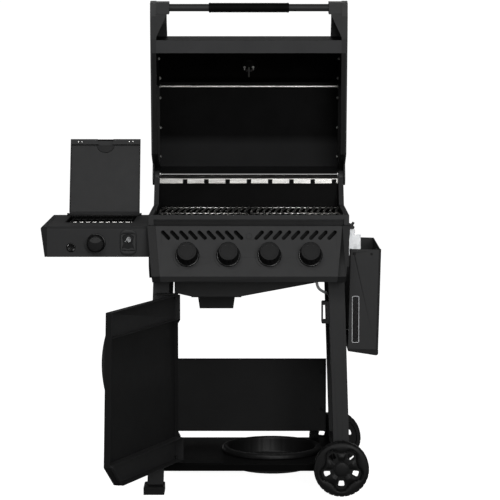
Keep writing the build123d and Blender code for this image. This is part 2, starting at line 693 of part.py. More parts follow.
GRATE_LOW = 862.5
with BuildPart() as side_burner_grate:
    for step in range(10):
        rod_y(SB_Y - 118, SB_Y + 118, SB_X + (step - 4.5) * 22, GRATE_LOW + 6, 3)
    for y in (SB_Y - 118, SB_Y + 118):
        rod_x(SB_X - 105, SB_X + 105, y, GRATE_LOW + 6, 3.5)
        for x in (SB_X - 105, SB_X + 105):
            rod_z(846, GRATE_LOW + 6, x, y, 3)
    rod_x(SB_X - 103, SB_X + 103, SB_Y + 3, GRATE_LOW + 2.4, 2.6)
save(side_burner_grate.part, "side_burner_grate")

ROLL_R = 3.8                 # rolled rear edge of the side burner lid, round its hinge pin
with BuildPart() as side_burner_lid:
    left, right = SB_X - SB_LID_WIDE / 2, SB_X + SB_LID_WIDE / 2
    slab(left, right, SB_LID_FRONT_Y, SB_HINGE_Y - 8, 877, 890)
    fillet(side_burner_lid.edges().group_by(Axis.Z)[-1], 3)
    slab(left + 2, right - 2, SB_LID_FRONT_Y + 2, SB_HINGE_Y - 7, 876, 888, Mode.SUBTRACT)
    slab(left + 1, right - 1, SB_LID_FRONT_Y + 1, SB_LID_FRONT_Y + 19, 877, 878.5)
    with BuildSketch(Plane.XY.offset(875)):
        with Locations((SB_X, SB_LID_FRONT_Y + 2)):
            Circle(27)
    extrude(amount=5, mode=Mode.SUBTRACT)
    bar_x(left, right, [
        (SB_HINGE_Y - 12, 888), (SB_HINGE_Y - 11, 890), (SB_HINGE_Y - 3, 889), (SB_HINGE_Y + 2, 884.5),
        (SB_HINGE_Y + 3, 881), (SB_HINGE_Y - 3, 881), (SB_HINGE_Y - 5, 886),
    ])
    rod_x(left, right, SB_HINGE_Y, SB_HINGE_Z, ROLL_R)
    rod_x(left - 1, right + 1, SB_HINGE_Y, SB_HINGE_Z, SB_PIN_R + RUN_GAP, Mode.SUBTRACT)
save(side_burner_lid.part.rotate(SB_AXIS, -SB_OPEN), "side_burner_lid")

with BuildPart() as igniter_button:
    rod_y(TABLE_FRONT_Y - 9, TABLE_FRONT_Y + 20, -577, 808, 11)
    fillet(igniter_button.edges().filter_by(GeomType.CIRCLE).group_by(Axis.Y)[0], 2)
save(igniter_button.part, "igniter_button")

OPENER_PLANE = Plane(origin=(-391, TABLE_FRONT_Y, 825), x_dir=(1, 0, 0), z_dir=(0, -1, 0))
with BuildPart() as bottle_opener:
    with BuildSketch(OPENER_PLANE):
        RectangleRounded(58, 86, 20)
        RectangleRounded(42, 68, 14, mode=Mode.SUBTRACT)
    extrude(amount=7)
    with BuildSketch(OPENER_PLANE):
        RectangleRounded(43, 69, 14)
    extrude(amount=1.5)
    with BuildSketch(OPENER_PLANE.offset(1.5)):
        with Locations((0, 14)):
            RectangleRounded(20, 34, 8)
    extrude(amount=14)
    with BuildSketch(OPENER_PLANE.offset(4)):
        with Locations((0, 4)):
            Rectangle(40, 16)
    extrude(amount=6, mode=Mode.SUBTRACT)
save(bottle_opener.part, "bottle_opener")

# ---------------------------------------------------------------- hinge pins and brackets fixed to the cart
with BuildPart() as hinge_fittings:
    rod_x(BOX_IN_X, LID_SIDE_OUT_X + 1, HINGE_Y, HINGE_Z, HINGE_PIN_R)
    mirror(about=Plane.YZ)
    for y0, y1 in ((TABLE_FRONT_Y, -232), (187, TABLE_BACK_Y)):
        rod_y(y0, y1, FOLD_X, FOLD_Z, FOLD_PIN_R)
    rod_x(SB_X - 127.5, SB_X + 127.5, SB_HINGE_Y, SB_HINGE_Z, SB_PIN_R)
    for x in (SB_X - 127.5, SB_X + 121.5):
        slab(x, x + 6, SB_HINGE_Y - 5, SB_HINGE_Y + 5, TABLE_TOP_Z, SB_HINGE_Z + 4)
    for plate_z, pin_z in ((DOOR_HIGH_Z + 2, DOOR_HIGH_Z - 15), (DOOR_LOW_Z - 5, DOOR_LOW_Z - 2)):
        slab(-300, DOOR_PIN_X + 8, DOOR_PIN_Y - 8, FRONT_Y, plate_z, plate_z + 3)
        rod_z(pin_z, pin_z + 17, DOOR_PIN_X, DOOR_PIN_Y, DOOR_PIN_R)
save(hinge_fittings.part, "hinge_fittings")

# ---------------------------------------------------------------- cooking grids
ROD_R = 3.7
for grid_name, grid_left in (("left_cooking_grid", -306.0), ("right_cooking_grid", 1.0)):
    with BuildPart() as grid:
        for step in range(15):
            rod_y(-234, 223, grid_left + 10 + step * 20.35, GRID_Z + ROD_R + 0.1, ROD_R)
        for y in (-230, -6, 219):
            rod_x(grid_left + 4, grid_left + 301, y, GRID_Z + ROD_R + 0.1, ROD_R - 0.6)
    save(grid.part, grid_name)

# ---------------------------------------------------------------- lid


def lerp(a, b, t):
    """The point a fraction t of the way from a to b."""
    return tuple(p + (q - p) * t for p, q in zip(a, b))


GAUGE_AT = lerp(LID_F, LID_K, 0.61)
GAUGE_PLANE = Plane(
    origin=(0, *GAUGE_AT), x_dir=(1, 0, 0), z_dir=(0, LID_F[1] - LID_K[1], LID_K[0] - LID_F[0]),
)
with BuildPart() as lid_shell:
    bent_sheet(
        -LID_SIDE_IN_X, LID_SIDE_IN_X,
        [(-206, LID_T[1]), LID_T, LID_F, LID_K, LID_B, LID_R], LID_SHEET, Side.RIGHT,
    )
    for x in (-LID_SIDE_IN_X - 1, LID_SIDE_IN_X - 6):
        slab(x, x + 7, 215, 245, 1010, 1034, Mode.SUBTRACT)
    with BuildSketch(GAUGE_PLANE.offset(-10)):
        Circle(30)
    extrude(amount=20, mode=Mode.SUBTRACT)
save(lid_opened(lid_shell.part), "lid_shell")

EAR_IN_X = 268.0             # inner side of the ears that carry the handle
with BuildPart() as lid_side_castings:
    bar_x(LID_SIDE_IN_X, LID_SIDE_OUT_X, [
        (-254, 915), (-330, 920), (-372, 932), (-376, 968), (-360, 978), (-300, 984), (-256, 1014),
        (-65, 1197), (238, 1167), (235, 1032), (212, 1028), (194, 1000), (141, 915),
    ])
    bar_x(LID_SIDE_IN_X - 1, LID_SIDE_OUT_X - 5, [
        (-232, 932), (-232, 1006), (-56, 1174), (216, 1147), (214, 1048), (198, 1044), (174, 1000),
        (130, 932),
    ], Mode.SUBTRACT)
    fillet(
        lid_side_castings.edges().filter_by(Axis.X).sort_by(Axis.Z)[-2:], 14,
    )
    bar_x(LID_SIDE_OUT_X - 5.5, LID_SIDE_OUT_X, [
        (190, 995), (196, 1060), (237, 1060), (262, 1012), (262, 990), (248, 976), (222, 978),
    ])
    rod_x(LID_SIDE_OUT_X - 5.5, LID_SIDE_OUT_X, HINGE_Y, HINGE_Z, 25)
    rod_x(LID_SIDE_OUT_X - 7, LID_SIDE_OUT_X + 1, HINGE_Y, HINGE_Z, HINGE_PIN_R + RUN_GAP, Mode.SUBTRACT)
    bar_x(EAR_IN_X, LID_SIDE_IN_X + 1, [(-374, 931), (-374, 972), (-366, 978), (-336, 974), (-336, 926)])
    bar_x(EAR_IN_X + 10, LID_SIDE_IN_X + 1, [
        (-338, 974), (-338, 979), (-300, 983.5), (-257, 1012), (-250, 1012), (-250, 1005), (-298, 978),
    ])
    bar_x(EAR_IN_X, LID_SIDE_IN_X + 1, [(-337, 921), (-337, 927), (-251, 921), (-251, 915.2)])
    with BuildSketch(Plane.XY.offset(913)):
        with BuildLine():
            ThreePointArc((EAR_IN_X + 7, -336), (293, -299), (LID_SIDE_IN_X, -259))
            Polyline((LID_SIDE_IN_X, -259), (LID_SIDE_IN_X, -245), (EAR_IN_X - 2, -245), (EAR_IN_X - 2, -336),
                     (EAR_IN_X + 7, -336))
        make_face()
    extrude(amount=16, mode=Mode.SUBTRACT)
    rod_x(EAR_IN_X - 1, LID_SIDE_OUT_X - 4, HANDLE_Y, HANDLE_Z, HANDLE_TUBE_R, Mode.SUBTRACT)
    mirror(about=Plane.YZ)
save(lid_opened(lid_side_castings.part), "lid_side_castings")

with BuildPart() as lid_handle_tube:
    rod_x(-LID_SIDE_OUT_X + 4, LID_SIDE_OUT_X - 4, HANDLE_Y, HANDLE_Z, HANDLE_TUBE_R)
    rod_x(-LID_SIDE_OUT_X + 3, LID_SIDE_OUT_X - 3, HANDLE_Y, HANDLE_Z, HANDLE_TUBE_R - 1.5, Mode.SUBTRACT)
save(lid_opened(lid_handle_tube.part), "lid_handle_tube")

with BuildPart() as lid_handle_grip:
    rod_x(-135, 135, HANDLE_Y, HANDLE_Z, 16.5)
    fillet(lid_handle_grip.edges().filter_by(GeomType.CIRCLE), 3)
    rod_x(-136, 136, HANDLE_Y, HANDLE_Z, HANDLE_TUBE_R, Mode.SUBTRACT)
save(lid_opened(lid_handle_grip.part), "lid_handle_grip")

with BuildPart() as lid_tie_rod:
    rod_x(-LID_SIDE_IN_X, LID_SIDE_IN_X, -51, 1170, 4.5)
save(lid_opened(lid_tie_rod.part), "lid_tie_rod")

with BuildPart() as lid_thermometer:
    with BuildSketch(GAUGE_PLANE):
        Circle(38)
    extrude(amount=13)
    chamfer(lid_thermometer.edges().filter_by(GeomType.CIRCLE).sort_by(Axis.Z)[-1], 3)
    with BuildSketch(GAUGE_PLANE.offset(-9)):
        Circle(29.6)
    extrude(amount=9)
    with BuildSketch(GAUGE_PLANE.offset(-55)):
        Circle(3)
    extrude(amount=50)
save(lid_opened(lid_thermometer.part), "lid_thermometer")

NUT_SPOTS = [lerp(LID_B, LID_K, t) for t in (0.13, 0.47, 0.82)]
NUT_SPOTS += [lerp(LID_K, LID_F, t) for t in (0.16, 0.59, 0.80)]
NUT_INSET = 14.0
with BuildPart() as lid_nuts:
    for spot_y, spot_z in NUT_SPOTS[:3]:
        rod_x(LID_SIDE_IN_X - 6, LID_SIDE_IN_X, spot_y - 1, spot_z - NUT_INSET, 5)
    for spot_y, spot_z in NUT_SPOTS[3:]:
        rod_x(LID_SIDE_IN_X - 6, LID_SIDE_IN_X, spot_y + NUT_INSET * 0.7, spot_z - NUT_INSET * 0.72, 5)
    mirror(about=Plane.YZ)
save(lid_opened(lid_nuts.part), "lid_nuts")

# ---------------------------------------------------------------- door


def door_edge_x(z):
    """X of the door's free edge at height z."""
    return DOOR_BOTTOM_X + (DOOR_TOP_X - DOOR_BOTTOM_X) * (z - DOOR_LOW_Z) / (DOOR_HIGH_Z - DOOR_LOW_Z)


def door_outline(low, high, inset):
    """A stretch of the door between two heights, inset from its upright edges and from its cut corner."""
    cut = DOOR_CORNER - inset * 2**0.5
    lean = (DOOR_TOP_X - DOOR_BOTTOM_X) / (DOOR_HIGH_Z - DOOR_LOW_Z)
    corner = (DOOR_BOTTOM_X - lean * DOOR_LOW_Z - inset - cut) / (1 - lean)
    points = [(DOOR_LEFT_X + inset, low), (DOOR_LEFT_X + inset, high), (door_edge_x(high) - inset, high)]
    if corner > low:
        points += [(door_edge_x(corner) - inset, corner), (low + cut, low)]
    else:
        points += [(door_edge_x(low) - inset, low)]
    return points


with BuildPart() as door_skin:
    with BuildSketch(Plane.XZ.offset(-DOOR_IN_Y)):
        Polygon(*door_outline(DOOR_LOW_Z, DOOR_HIGH_Z, 0), align=None)
    extrude(amount=DOOR_IN_Y - DOOR_OUT_Y)
    with BuildSketch(Plane.XZ.offset(-DOOR_IN_Y)):
        Polygon(*door_outline(DOOR_LOW_Z - 1, DOOR_HIGH_Z + 1, SHEET), align=None)
    extrude(amount=DOOR_IN_Y - DOOR_OUT_Y - SHEET, mode=Mode.SUBTRACT)
    bar_x(DOOR_LEFT_X - 1, DOOR_LEFT_X + SHEET + 1, [
        (DOOR_IN_Y + 1, 190), (DOOR_IN_Y - 7.6, 204), (DOOR_IN_Y - 7.6, 560), (DOOR_IN_Y + 1, 574),
    ], Mode.SUBTRACT)
save(door_opened(door_skin.part), "door_skin")

with BuildPart() as door_liner:
    for low, high, in_y in (
        (DOOR_LOW_Z, DOOR_LOW_Z + 75, DOOR_LOW_LINER_Y), (DOOR_HIGH_Z - 80, DOOR_HIGH_Z, DOOR_IN_Y),
    ):
        with BuildSketch(Plane.XZ.offset(-in_y)):
            Polygon(*door_outline(low, high, SHEET), align=None)
        extrude(amount=in_y - DOOR_OUT_Y - SHEET)
        with BuildSketch(Plane.XZ.offset(-in_y - SHEET)):
            Polygon(*door_outline(low + SHEET, high - SHEET, 2 * SHEET), align=None)
        extrude(amount=in_y - DOOR_OUT_Y - 2 * SHEET, mode=Mode.SUBTRACT)
    rod_z(DOOR_LOW_Z - 1, DOOR_HIGH_Z + 1, DOOR_PIN_X, DOOR_PIN_Y, DOOR_PIN_R + RUN_GAP, Mode.SUBTRACT)
save(door_opened(door_liner.part), "door_liner")

HANDLE_LOW_Z, HANDLE_HIGH_Z = 382.0, 602.0
HANDLE_MID_Z = (HANDLE_LOW_Z + HANDLE_HIGH_Z) / 2


def handle_bow(start_x, depth, bulge, inset, mode):
    """A flat-backed bow on the door's outer face, bulging outwards over its height."""
    with BuildSketch(Plane.YZ.offset(start_x)) as section:
        with BuildLine():
            Line((DOOR_OUT_Y, HANDLE_LOW_Z + inset), (DOOR_OUT_Y, HANDLE_HIGH_Z - inset))
            ThreePointArc(
                (DOOR_OUT_Y, HANDLE_HIGH_Z - inset), (DOOR_OUT_Y - bulge, HANDLE_MID_Z),
                (DOOR_OUT_Y, HANDLE_LOW_Z + inset),
            )
        make_face()
    extrude(section.sketch, amount=depth, mode=mode)


with BuildPart() as door_handle:
    handle_bow(212, 18, 20, 0, Mode.ADD)
    handle_bow(211, 11, 16, 14, Mode.SUBTRACT)
save(door_opened(door_handle.part), "door_handle")

# ---------------------------------------------------------------- grease drawer
HOPPER_HALF_X, HOPPER_HALF_Y = 244.0, 172.0
HOPPER_DROP = 58.0
OUTLET_LEFT_X, OUTLET_RIGHT_X = -191.0, -25.0


def hopper(inset, roof, mode):
    """The wedge under the tray's rim, shallow on the right and deep on the left, shrunk by the inset."""
    low_z = TRAY_RIM_Z - HOPPER_DROP + inset
    half_x, half_y = HOPPER_HALF_X - inset, HOPPER_HALF_Y - inset
    with BuildSketch(Plane.XZ.offset(-half_y)) as section:
        Polygon(
            (-half_x, roof), (-half_x, low_z + 12), (OUTLET_LEFT_X, low_z), (OUTLET_RIGHT_X, low_z),
            (half_x, TRAY_RIM_Z - 8 + inset), (half_x, roof), align=None,
        )
    extrude(section.sketch, amount=2 * half_y, mode=mode)


with BuildPart() as grease_tray:
    slab(-256, 256, -178, 178, TRAY_RIM_Z, TRAY_RIM_Z + 2)
    hopper(0, TRAY_RIM_Z + 2, Mode.ADD)
    hopper(2, TRAY_RIM_Z + 3, Mode.SUBTRACT)
    slab(-171, -45, -72, 72, TRAY_RIM_Z - HOPPER_DROP - 1, TRAY_RIM_Z - HOPPER_DROP + 3, Mode.SUBTRACT)
save(grease_tray.part, "grease_tray")

OUTLET_Z = TRAY_RIM_Z - HOPPER_DROP
with BuildPart() as drip_cup_holder:
    slab(OUTLET_LEFT_X, OUTLET_RIGHT_X, -85, 85, OUTLET_Z - 14, OUTLET_Z)
    slab(OUTLET_LEFT_X + 2, OUTLET_RIGHT_X - 2, -83, 83, OUTLET_Z - 12, OUTLET_Z + 1, Mode.SUBTRACT)
    slab(-171, -45, -72, 72, OUTLET_Z - 15, OUTLET_Z - 10, Mode.SUBTRACT)
save(drip_cup_holder.part, "drip_cup_holder")

with BuildPart() as drip_cup:
    slab(-179, -37, -80, 80, OUTLET_Z - 12, OUTLET_Z - 11)
    for z, wide, deep in ((OUTLET_Z - 11, 124, 142), (OUTLET_Z - 54, 112, 126)):
        with BuildSketch(Plane.XY.offset(z)):
            with Locations((-108, 0)):
                Rectangle(wide, deep)
    loft()
    for z, wide, deep in ((OUTLET_Z - 10.9, 122, 140), (OUTLET_Z - 53, 110, 124)):
        with BuildSketch(Plane.XY.offset(z)):
            with Locations((-108, 0)):
                Rectangle(wide, deep)
    loft(mode=Mode.SUBTRACT)
save(drip_cup.part, "drip_cup")

# ---------------------------------------------------------------- cart screws
with BuildPart() as cart_screws:
    for z in (200, 330):
        for side in (-1, 1):
            rod_y(192, 205, side * 255, z, 3.5)
    for z in (120, 112):
        rod_x(300, 303, -60, z, 4)
save(cart_screws.part, "cart_screws")
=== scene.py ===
"""Looks of the gas barbecue: materials for the CAD parts, detailed pieces, camera, floor and studio light."""
import json
from math import cos, degrees, hypot, pi, radians, sin, sqrt

import bmesh
import bpy
from mathutils import Matrix, Vector


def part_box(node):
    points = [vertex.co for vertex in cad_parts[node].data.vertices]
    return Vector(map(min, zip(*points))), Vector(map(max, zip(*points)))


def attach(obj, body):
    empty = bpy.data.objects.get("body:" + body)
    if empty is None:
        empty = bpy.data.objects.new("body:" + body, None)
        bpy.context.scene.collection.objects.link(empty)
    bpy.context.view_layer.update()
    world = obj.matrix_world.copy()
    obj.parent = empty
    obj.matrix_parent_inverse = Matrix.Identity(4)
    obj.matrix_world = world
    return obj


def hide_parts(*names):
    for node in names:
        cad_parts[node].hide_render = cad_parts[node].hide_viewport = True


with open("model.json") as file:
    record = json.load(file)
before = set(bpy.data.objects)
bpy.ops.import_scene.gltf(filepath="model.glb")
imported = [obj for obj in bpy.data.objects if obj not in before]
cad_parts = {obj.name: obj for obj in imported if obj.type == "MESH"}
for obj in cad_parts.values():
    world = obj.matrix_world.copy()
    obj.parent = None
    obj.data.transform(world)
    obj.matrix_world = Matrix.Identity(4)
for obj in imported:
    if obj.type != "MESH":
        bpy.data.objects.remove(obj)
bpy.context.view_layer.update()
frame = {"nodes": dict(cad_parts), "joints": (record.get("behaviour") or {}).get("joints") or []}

MM = 0.001
JOINTS = {joint["name"]: joint for joint in frame["joints"]}


def mm(*values):
    """A point given in millimetres, in metres."""
    return Vector(values) * MM


# ---------------------------------------------------------------- camera
CAMERA_PITCH, CAMERA_LENS = radians(6.02), 155.4
camera = bpy.data.objects.new("camera", bpy.data.cameras.new("camera"))
camera.location = mm(3.75, -7200, 1533.8)
camera.rotation_euler = (pi / 2 - CAMERA_PITCH, 0, 0)
camera.data.sensor_width = 36
camera.data.lens = CAMERA_LENS
camera.data.clip_end = 100
bpy.context.scene.collection.objects.link(camera)
bpy.context.scene.camera = camera


# ---------------------------------------------------------------- materials
class Surface:
    """A procedural material on one Principled shader. Patterns use object coordinates, in metres."""

    def __init__(self, name, roughness, metallic=0.0, **constants):
        self.material = bpy.data.materials.new(name)
        self.material.use_nodes = True
        self.nodes = self.material.node_tree.nodes
        self.links = self.material.node_tree.links
        self.shader = self.nodes["Principled BSDF"]
        self.shader.inputs["Roughness"].default_value = roughness
        self.shader.inputs["Metallic"].default_value = metallic
        for socket, value in constants.items():
            self.shader.inputs[socket.replace("_", " ")].default_value = value
        self.coordinates = self.nodes.new("ShaderNodeTexCoord").outputs["Object"]

    def place(self, stretch):
        """Object coordinates, scaled per axis."""
        if stretch == (1, 1, 1):
            return self.coordinates
        mapping = self.nodes.new("ShaderNodeMapping")
        mapping.inputs["Scale"].default_value = stretch
        self.links.new(self.coordinates, mapping.inputs["Vector"])
        return mapping.outputs["Vector"]

    def noise(self, scale, detail=3.0, stretch=(1, 1, 1)):
        texture = self.nodes.new("ShaderNodeTexNoise")
        texture.inputs["Scale"].default_value = scale
        texture.inputs["Detail"].default_value = detail
        self.links.new(self.place(stretch), texture.inputs["Vector"])
        return texture.outputs["Fac"]

    def cells(self, scale, output="Distance", stretch=(1, 1, 1)):
        texture = self.nodes.new("ShaderNodeTexVoronoi")
        texture.inputs["Scale"].default_value = scale
        self.links.new(self.place(stretch), texture.inputs["Vector"])
        return texture.outputs[output]

    def between(self, factor, low, high, span=(0.3, 0.7)):
        """A number that runs from low to high as the pattern runs over span."""
        limits = self.nodes.new("ShaderNodeMapRange")
        limits.inputs["From Min"].default_value = span[0]
        limits.inputs["From Max"].default_value = span[1]
        limits.inputs["To Min"].default_value = low
        limits.inputs["To Max"].default_value = high
        self.links.new(factor, limits.inputs["Value"])
        return limits.outputs["Result"]

    def blend(self, factor, low, high, span=(0.3, 0.7)):
        """A colour that runs from low to high as the pattern runs over span."""
        ramp = self.nodes.new("ShaderNodeValToRGB")
        ramp.color_ramp.elements[0].position = span[0]
        ramp.color_ramp.elements[0].color = (*low, 1)
        ramp.color_ramp.elements[1].position = span[1]
        ramp.color_ramp.elements[1].color = (*high, 1)
        self.links.new(factor, ramp.inputs["Fac"])
        return ramp.outputs["Color"]

    def colour(self, source):
        self.links.new(source, self.shader.inputs["Base Color"])

    def split(self, vector):
        """The components of a vector, by name."""
        parts = self.nodes.new("ShaderNodeSeparateXYZ")
        self.links.new(vector, parts.inputs["Vector"])
        return parts.outputs

    def arithmetic(self, operation, first, second):
        """A sum, product or the like of two numbers."""
        result = self.nodes.new("ShaderNodeMath")
        result.operation = operation
        self.links.new(first, result.inputs[0])
        self.links.new(second, result.inputs[1])
        return result.outputs["Value"]

    def roughen(self, source):
        self.links.new(source, self.shader.inputs["Roughness"])

    def bump(self, height, distance, strength=1.0):
        bump = self.nodes.new("ShaderNodeBump")
        bump.inputs["Distance"].default_value = distance
        bump.inputs["Strength"].default_value = strength
        self.links.new(height, bump.inputs["Height"])
        self.links.new(bump.outputs["Normal"], self.shader.inputs["Normal"])


def grey(shade):
    """A neutral colour with a very slight blue cast."""
    return (shade, shade * 1.01, shade * 1.03)


def coated(name, dark, light, roughness, grain, depth, specular=0.5):
    """Black coating: orange-peel grain, faint clouds of colour and slightly uneven gloss."""
    surface = Surface(name, roughness, Specular_IOR_Level=specular)
    clouds = surface.noise(9, 4)
    surface.colour(surface.blend(clouds, grey(dark), grey(light)))
    surface.roughen(surface.between(surface.noise(38, 3), roughness - 0.02, roughness + 0.02))
    surface.bump(surface.noise(grain, 2), depth, 0.6)
    return surface.material


def casting_paint(name, unshaded_part):
    """Coarse paint on a casting, at its own grey on the given part and blackened by painted shade elsewhere.
    """
    surface = Surface(name, 0.5, Specular_IOR_Level=0.2)
    unshaded = unshaded_part(surface, surface.split(surface.coordinates))
    level = surface.arithmetic("ADD", unshaded, surface.between(surface.noise(9, 4), -0.06, 0.06))
    # painted shade: near-black where the part is shaded, the casting's own grey where it is not
    surface.colour(surface.blend(level, grey(CASTING_PAINTED_SHADE), grey(CASTING_GREY), (0.0, 1.0)))
    surface.roughen(surface.between(surface.noise(38, 3), 0.48, 0.54))
    surface.bump(surface.noise(700, 2), 0.00018, 0.6)
    return surface.material


def outward_faces(surface, place):
    """Unshaded on every face that does not look into the grill; the faces inside get painted shade."""
    normal = surface.split(surface.nodes.new("ShaderNodeNewGeometry").outputs["Normal"])
    return surface.between(surface.arithmetic("MULTIPLY", place["X"], normal["X"]), 0.06, 0.94, (-0.2, -0.1))


def above_rim(surface, place):
    """Unshaded on the front wall's rim only; the wall below the rim gets painted shade."""
    return surface.between(place["Z"], 0.06, 0.94, (FRONT_RIM_Z, FRONT_RIM_Z + 0.001))


def lid_outside(surface, place):
    """Unshaded on the lid castings' outer skin and on their ears; their faces inside the lid get painted
    shade.
    """
    apart = surface.arithmetic("ABSOLUTE", place["X"], place["X"])
    outer = surface.between(apart, 0.0, 0.94, (LID_SKIN_X, LID_SKIN_X + 0.0005))
    ears = surface.between(place["Z"], 0.0, 0.94, (LID_EAR_Z, LID_EAR_Z + 0.001))
    return surface.arithmetic("MAXIMUM", outer, ears)


def metal(name, dark, light, roughness, grain, stretch, depth):
    """Bare metal with a grain drawn out along one axis."""
    surface = Surface(name, roughness, 1.0)
    streaks = surface.noise(grain, 4, stretch)
    surface.colour(surface.blend(streaks, dark, light))
    surface.roughen(surface.between(streaks, roughness - 0.08, roughness + 0.08))
    surface.bump(streaks, depth, 0.5)
    return surface.material


def moulded(name, dark, light, roughness, grain, depth, specular=0.5):
    """Moulded plastic or rubber with an eroded, fine-celled skin."""
    surface = Surface(name, roughness, Specular_IOR_Level=specular)
    cells = surface.cells(grain)
    surface.colour(surface.blend(surface.noise(22, 3), dark, light))
    surface.roughen(surface.between(cells, roughness - 0.06, roughness + 0.06, (0.0, 0.8)))
    surface.bump(cells, depth, 0.5)
    return surface.material


def lid_enamel():
    """Porcelain enamel inside the lid: deep black, with painted reflection that makes it paler at its lower
    end, and a paler grey front lip.
    """
    surface = Surface("lid_enamel", 0.4, Specular_IOR_Level=0.03)
    place = surface.split(surface.coordinates)
    # painted reflection: the base colour grows paler towards the lid's lower end, standing in for the gloss
    # reflection there
    depth = surface.between(place["Z"], 0.0, 0.9, (REFLECTION_FADE_LOW_Z, REFLECTION_FADE_HIGH_Z))
    level = surface.arithmetic("ADD", depth, surface.between(surface.noise(14, 4), 0.0, 0.1))
    inside = surface.blend(level, grey(LID_PAINTED_REFLECTION), grey(LID_BLACK), (0.0, 1.0))
    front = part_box("lid_shell")[0].y
    lip = surface.nodes.new("ShaderNodeMix")
    lip.data_type = "RGBA"
    forward = surface.between(place["Y"], 1.0, 0.0, (front + LIP_DEPTH, front + LIP_DEPTH + 0.002))
    below_top = surface.between(place["Z"], 1.0, 0.0, (LIP_TOP_Z, LIP_TOP_Z + 0.001))
    surface.links.new(surface.arithmetic("MULTIPLY", forward, below_top), lip.inputs["Factor"])
    surface.links.new(inside, lip.inputs["A"])
    surface.links.new(surface.blend(surface.noise(9, 4), grey(LIP_GREY), grey(LIP_GREY * 1.15)),
                      lip.inputs["B"])
    surface.colour(lip.outputs["Result"])
    surface.roughen(surface.between(surface.noise(40, 3), 0.36, 0.44))
    surface.bump(surface.noise(160, 2), 0.00004, 0.6)
    return surface.material


def galvanised_sheet():
    """Zinc spangle: flat crystal cells of slightly different brightness."""
    surface = Surface("galvanised_sheet", 0.38, 1.0)
    spangle = surface.cells(120, "Color")
    surface.colour(surface.blend(spangle, (0.50, 0.51, 0.52), (0.66, 0.67, 0.68), (0.2, 0.8)))
    surface.roughen(surface.between(spangle, 0.3, 0.48, (0.2, 0.8)))
    surface.bump(surface.noise(600, 2), 0.00003, 0.4)
    return surface.material


FLAT = (1, 1, 1)
# height band over which the lid's painted reflection fades to black
REFLECTION_FADE_LOW_Z, REFLECTION_FADE_HIGH_Z = 1.105, 1.140
LID_PAINTED_REFLECTION, LID_BLACK = 0.014, 0.0012
LIP_DEPTH, LIP_TOP_Z, LIP_GREY = 0.020, 1.4735, 0.045
# near-black painted shade for the castings' shaded faces, and the castings' own grey
CASTING_PAINTED_SHADE, CASTING_GREY = 0.0018, 0.026
FRONT_RIM_Z, LID_SKIN_X, LID_EAR_Z = 0.895, 0.3265, 1.430
MATERIALS = {
    "powder": coated("powder_coat", 0.0235, 0.0255, 0.54, 1500, 0.00006, 0.2),
    # painted shade: darker copies of the powder coat for the door skin, back panel, side rails and hinge
    # fittings, and a less dark one for the door liner
    "powder_painted_shade": coated("powder_coat_painted_shade", 0.0085, 0.0105, 0.5, 1500, 0.00006, 0.12),
    "powder_painted_half_shade": coated("powder_coat_painted_half_shade", 0.018, 0.020, 0.52, 1500, 0.00006, 0.16),
    # painted shade: a near-black copy of the coating for the bottom shelf under the cart
    "painted_shade_black": coated("painted_shade_black", 0.0012, 0.0019, 0.45, 900, 0.0001, 0.04),
    "tray_grey": coated("tray_grey", 0.016, 0.019, 0.45, 900, 0.00008, 0.2),
    "casting": casting_paint("painted_casting", outward_faces),
    "front_casting": casting_paint("painted_front_wall", above_rim),
    "lid_casting": casting_paint("painted_lid_casting", lid_outside),
    "lid_enamel": lid_enamel(),
    "enamel": coated("black_enamel", 0.0015, 0.0024, 0.3, 160, 0.00004, 0.04),
    "steel": metal("stainless_steel", (0.52, 0.51, 0.49), (0.74, 0.73, 0.70), 0.30, 260, (0.06, 3, 3),
                   0.00003),
    "rod": metal("steel_rod", (0.50, 0.49, 0.47), (0.72, 0.71, 0.69), 0.26, 300, (3, 0.08, 3), 0.00003),
    "zinc": metal("zinc_plated", (0.48, 0.48, 0.47), (0.68, 0.68, 0.66), 0.3, 500, FLAT, 0.00003),
    "chrome": metal("polished_chrome", (0.74, 0.75, 0.76), (0.82, 0.83, 0.84), 0.14, 60, FLAT, 0.00001),
    "brass": metal("machined_brass", (0.52, 0.37, 0.14), (0.68, 0.50, 0.22), 0.32, 300, (1, 4, 1), 0.00003),
    "galvanised": galvanised_sheet(),
    "iron": coated("seasoned_iron", 0.004, 0.009, 0.55, 900, 0.0002, 0.15),
    "nylon": moulded("moulded_nylon", grey(0.010), grey(0.013), 0.46, 1500, 0.00008, 0.14),
    "knob": moulded("knob_plastic", grey(0.006), grey(0.008), 0.5, 1800, 0.00005, 0.14),
    "gloss": moulded("gloss_plastic", grey(0.003), grey(0.005), 0.26, 300, 0.00001, 0.3),
    "tyre": moulded("tyre_plastic", grey(0.0035), grey(0.006), 0.45, 1000, 0.00012, 0.2),
    "grip": moulded("handle_grip", grey(0.002), grey(0.004), 0.6, 1300, 0.00012, 0.06),
    "hose": moulded("hose_rubber", grey(0.34), grey(0.44), 0.5, 900, 0.0001),
    "die_cast": coated("die_cast_zinc", 0.16, 0.22, 0.42, 800, 0.0001),
    "ceramic": moulded("glazed_ceramic", (0.62, 0.60, 0.55), (0.72, 0.70, 0.66), 0.25, 400, 0.00002),
    "dial": moulded("dial_face", grey(0.60), grey(0.68), 0.5, 900, 0.00001),
    "ink": moulded("dial_ink", grey(0.008), grey(0.012), 0.5, 900, 0.00001),
    "needle": moulded("dial_needle", (0.30, 0.02, 0.015), (0.36, 0.03, 0.02), 0.4, 900, 0.00001),
    "badge": moulded("badge_line", grey(0.46), grey(0.55), 0.4, 900, 0.00001),
    "scale": moulded("printed_scale", grey(0.012), grey(0.016), 0.6, 900, 0.00001, 0.1),
}

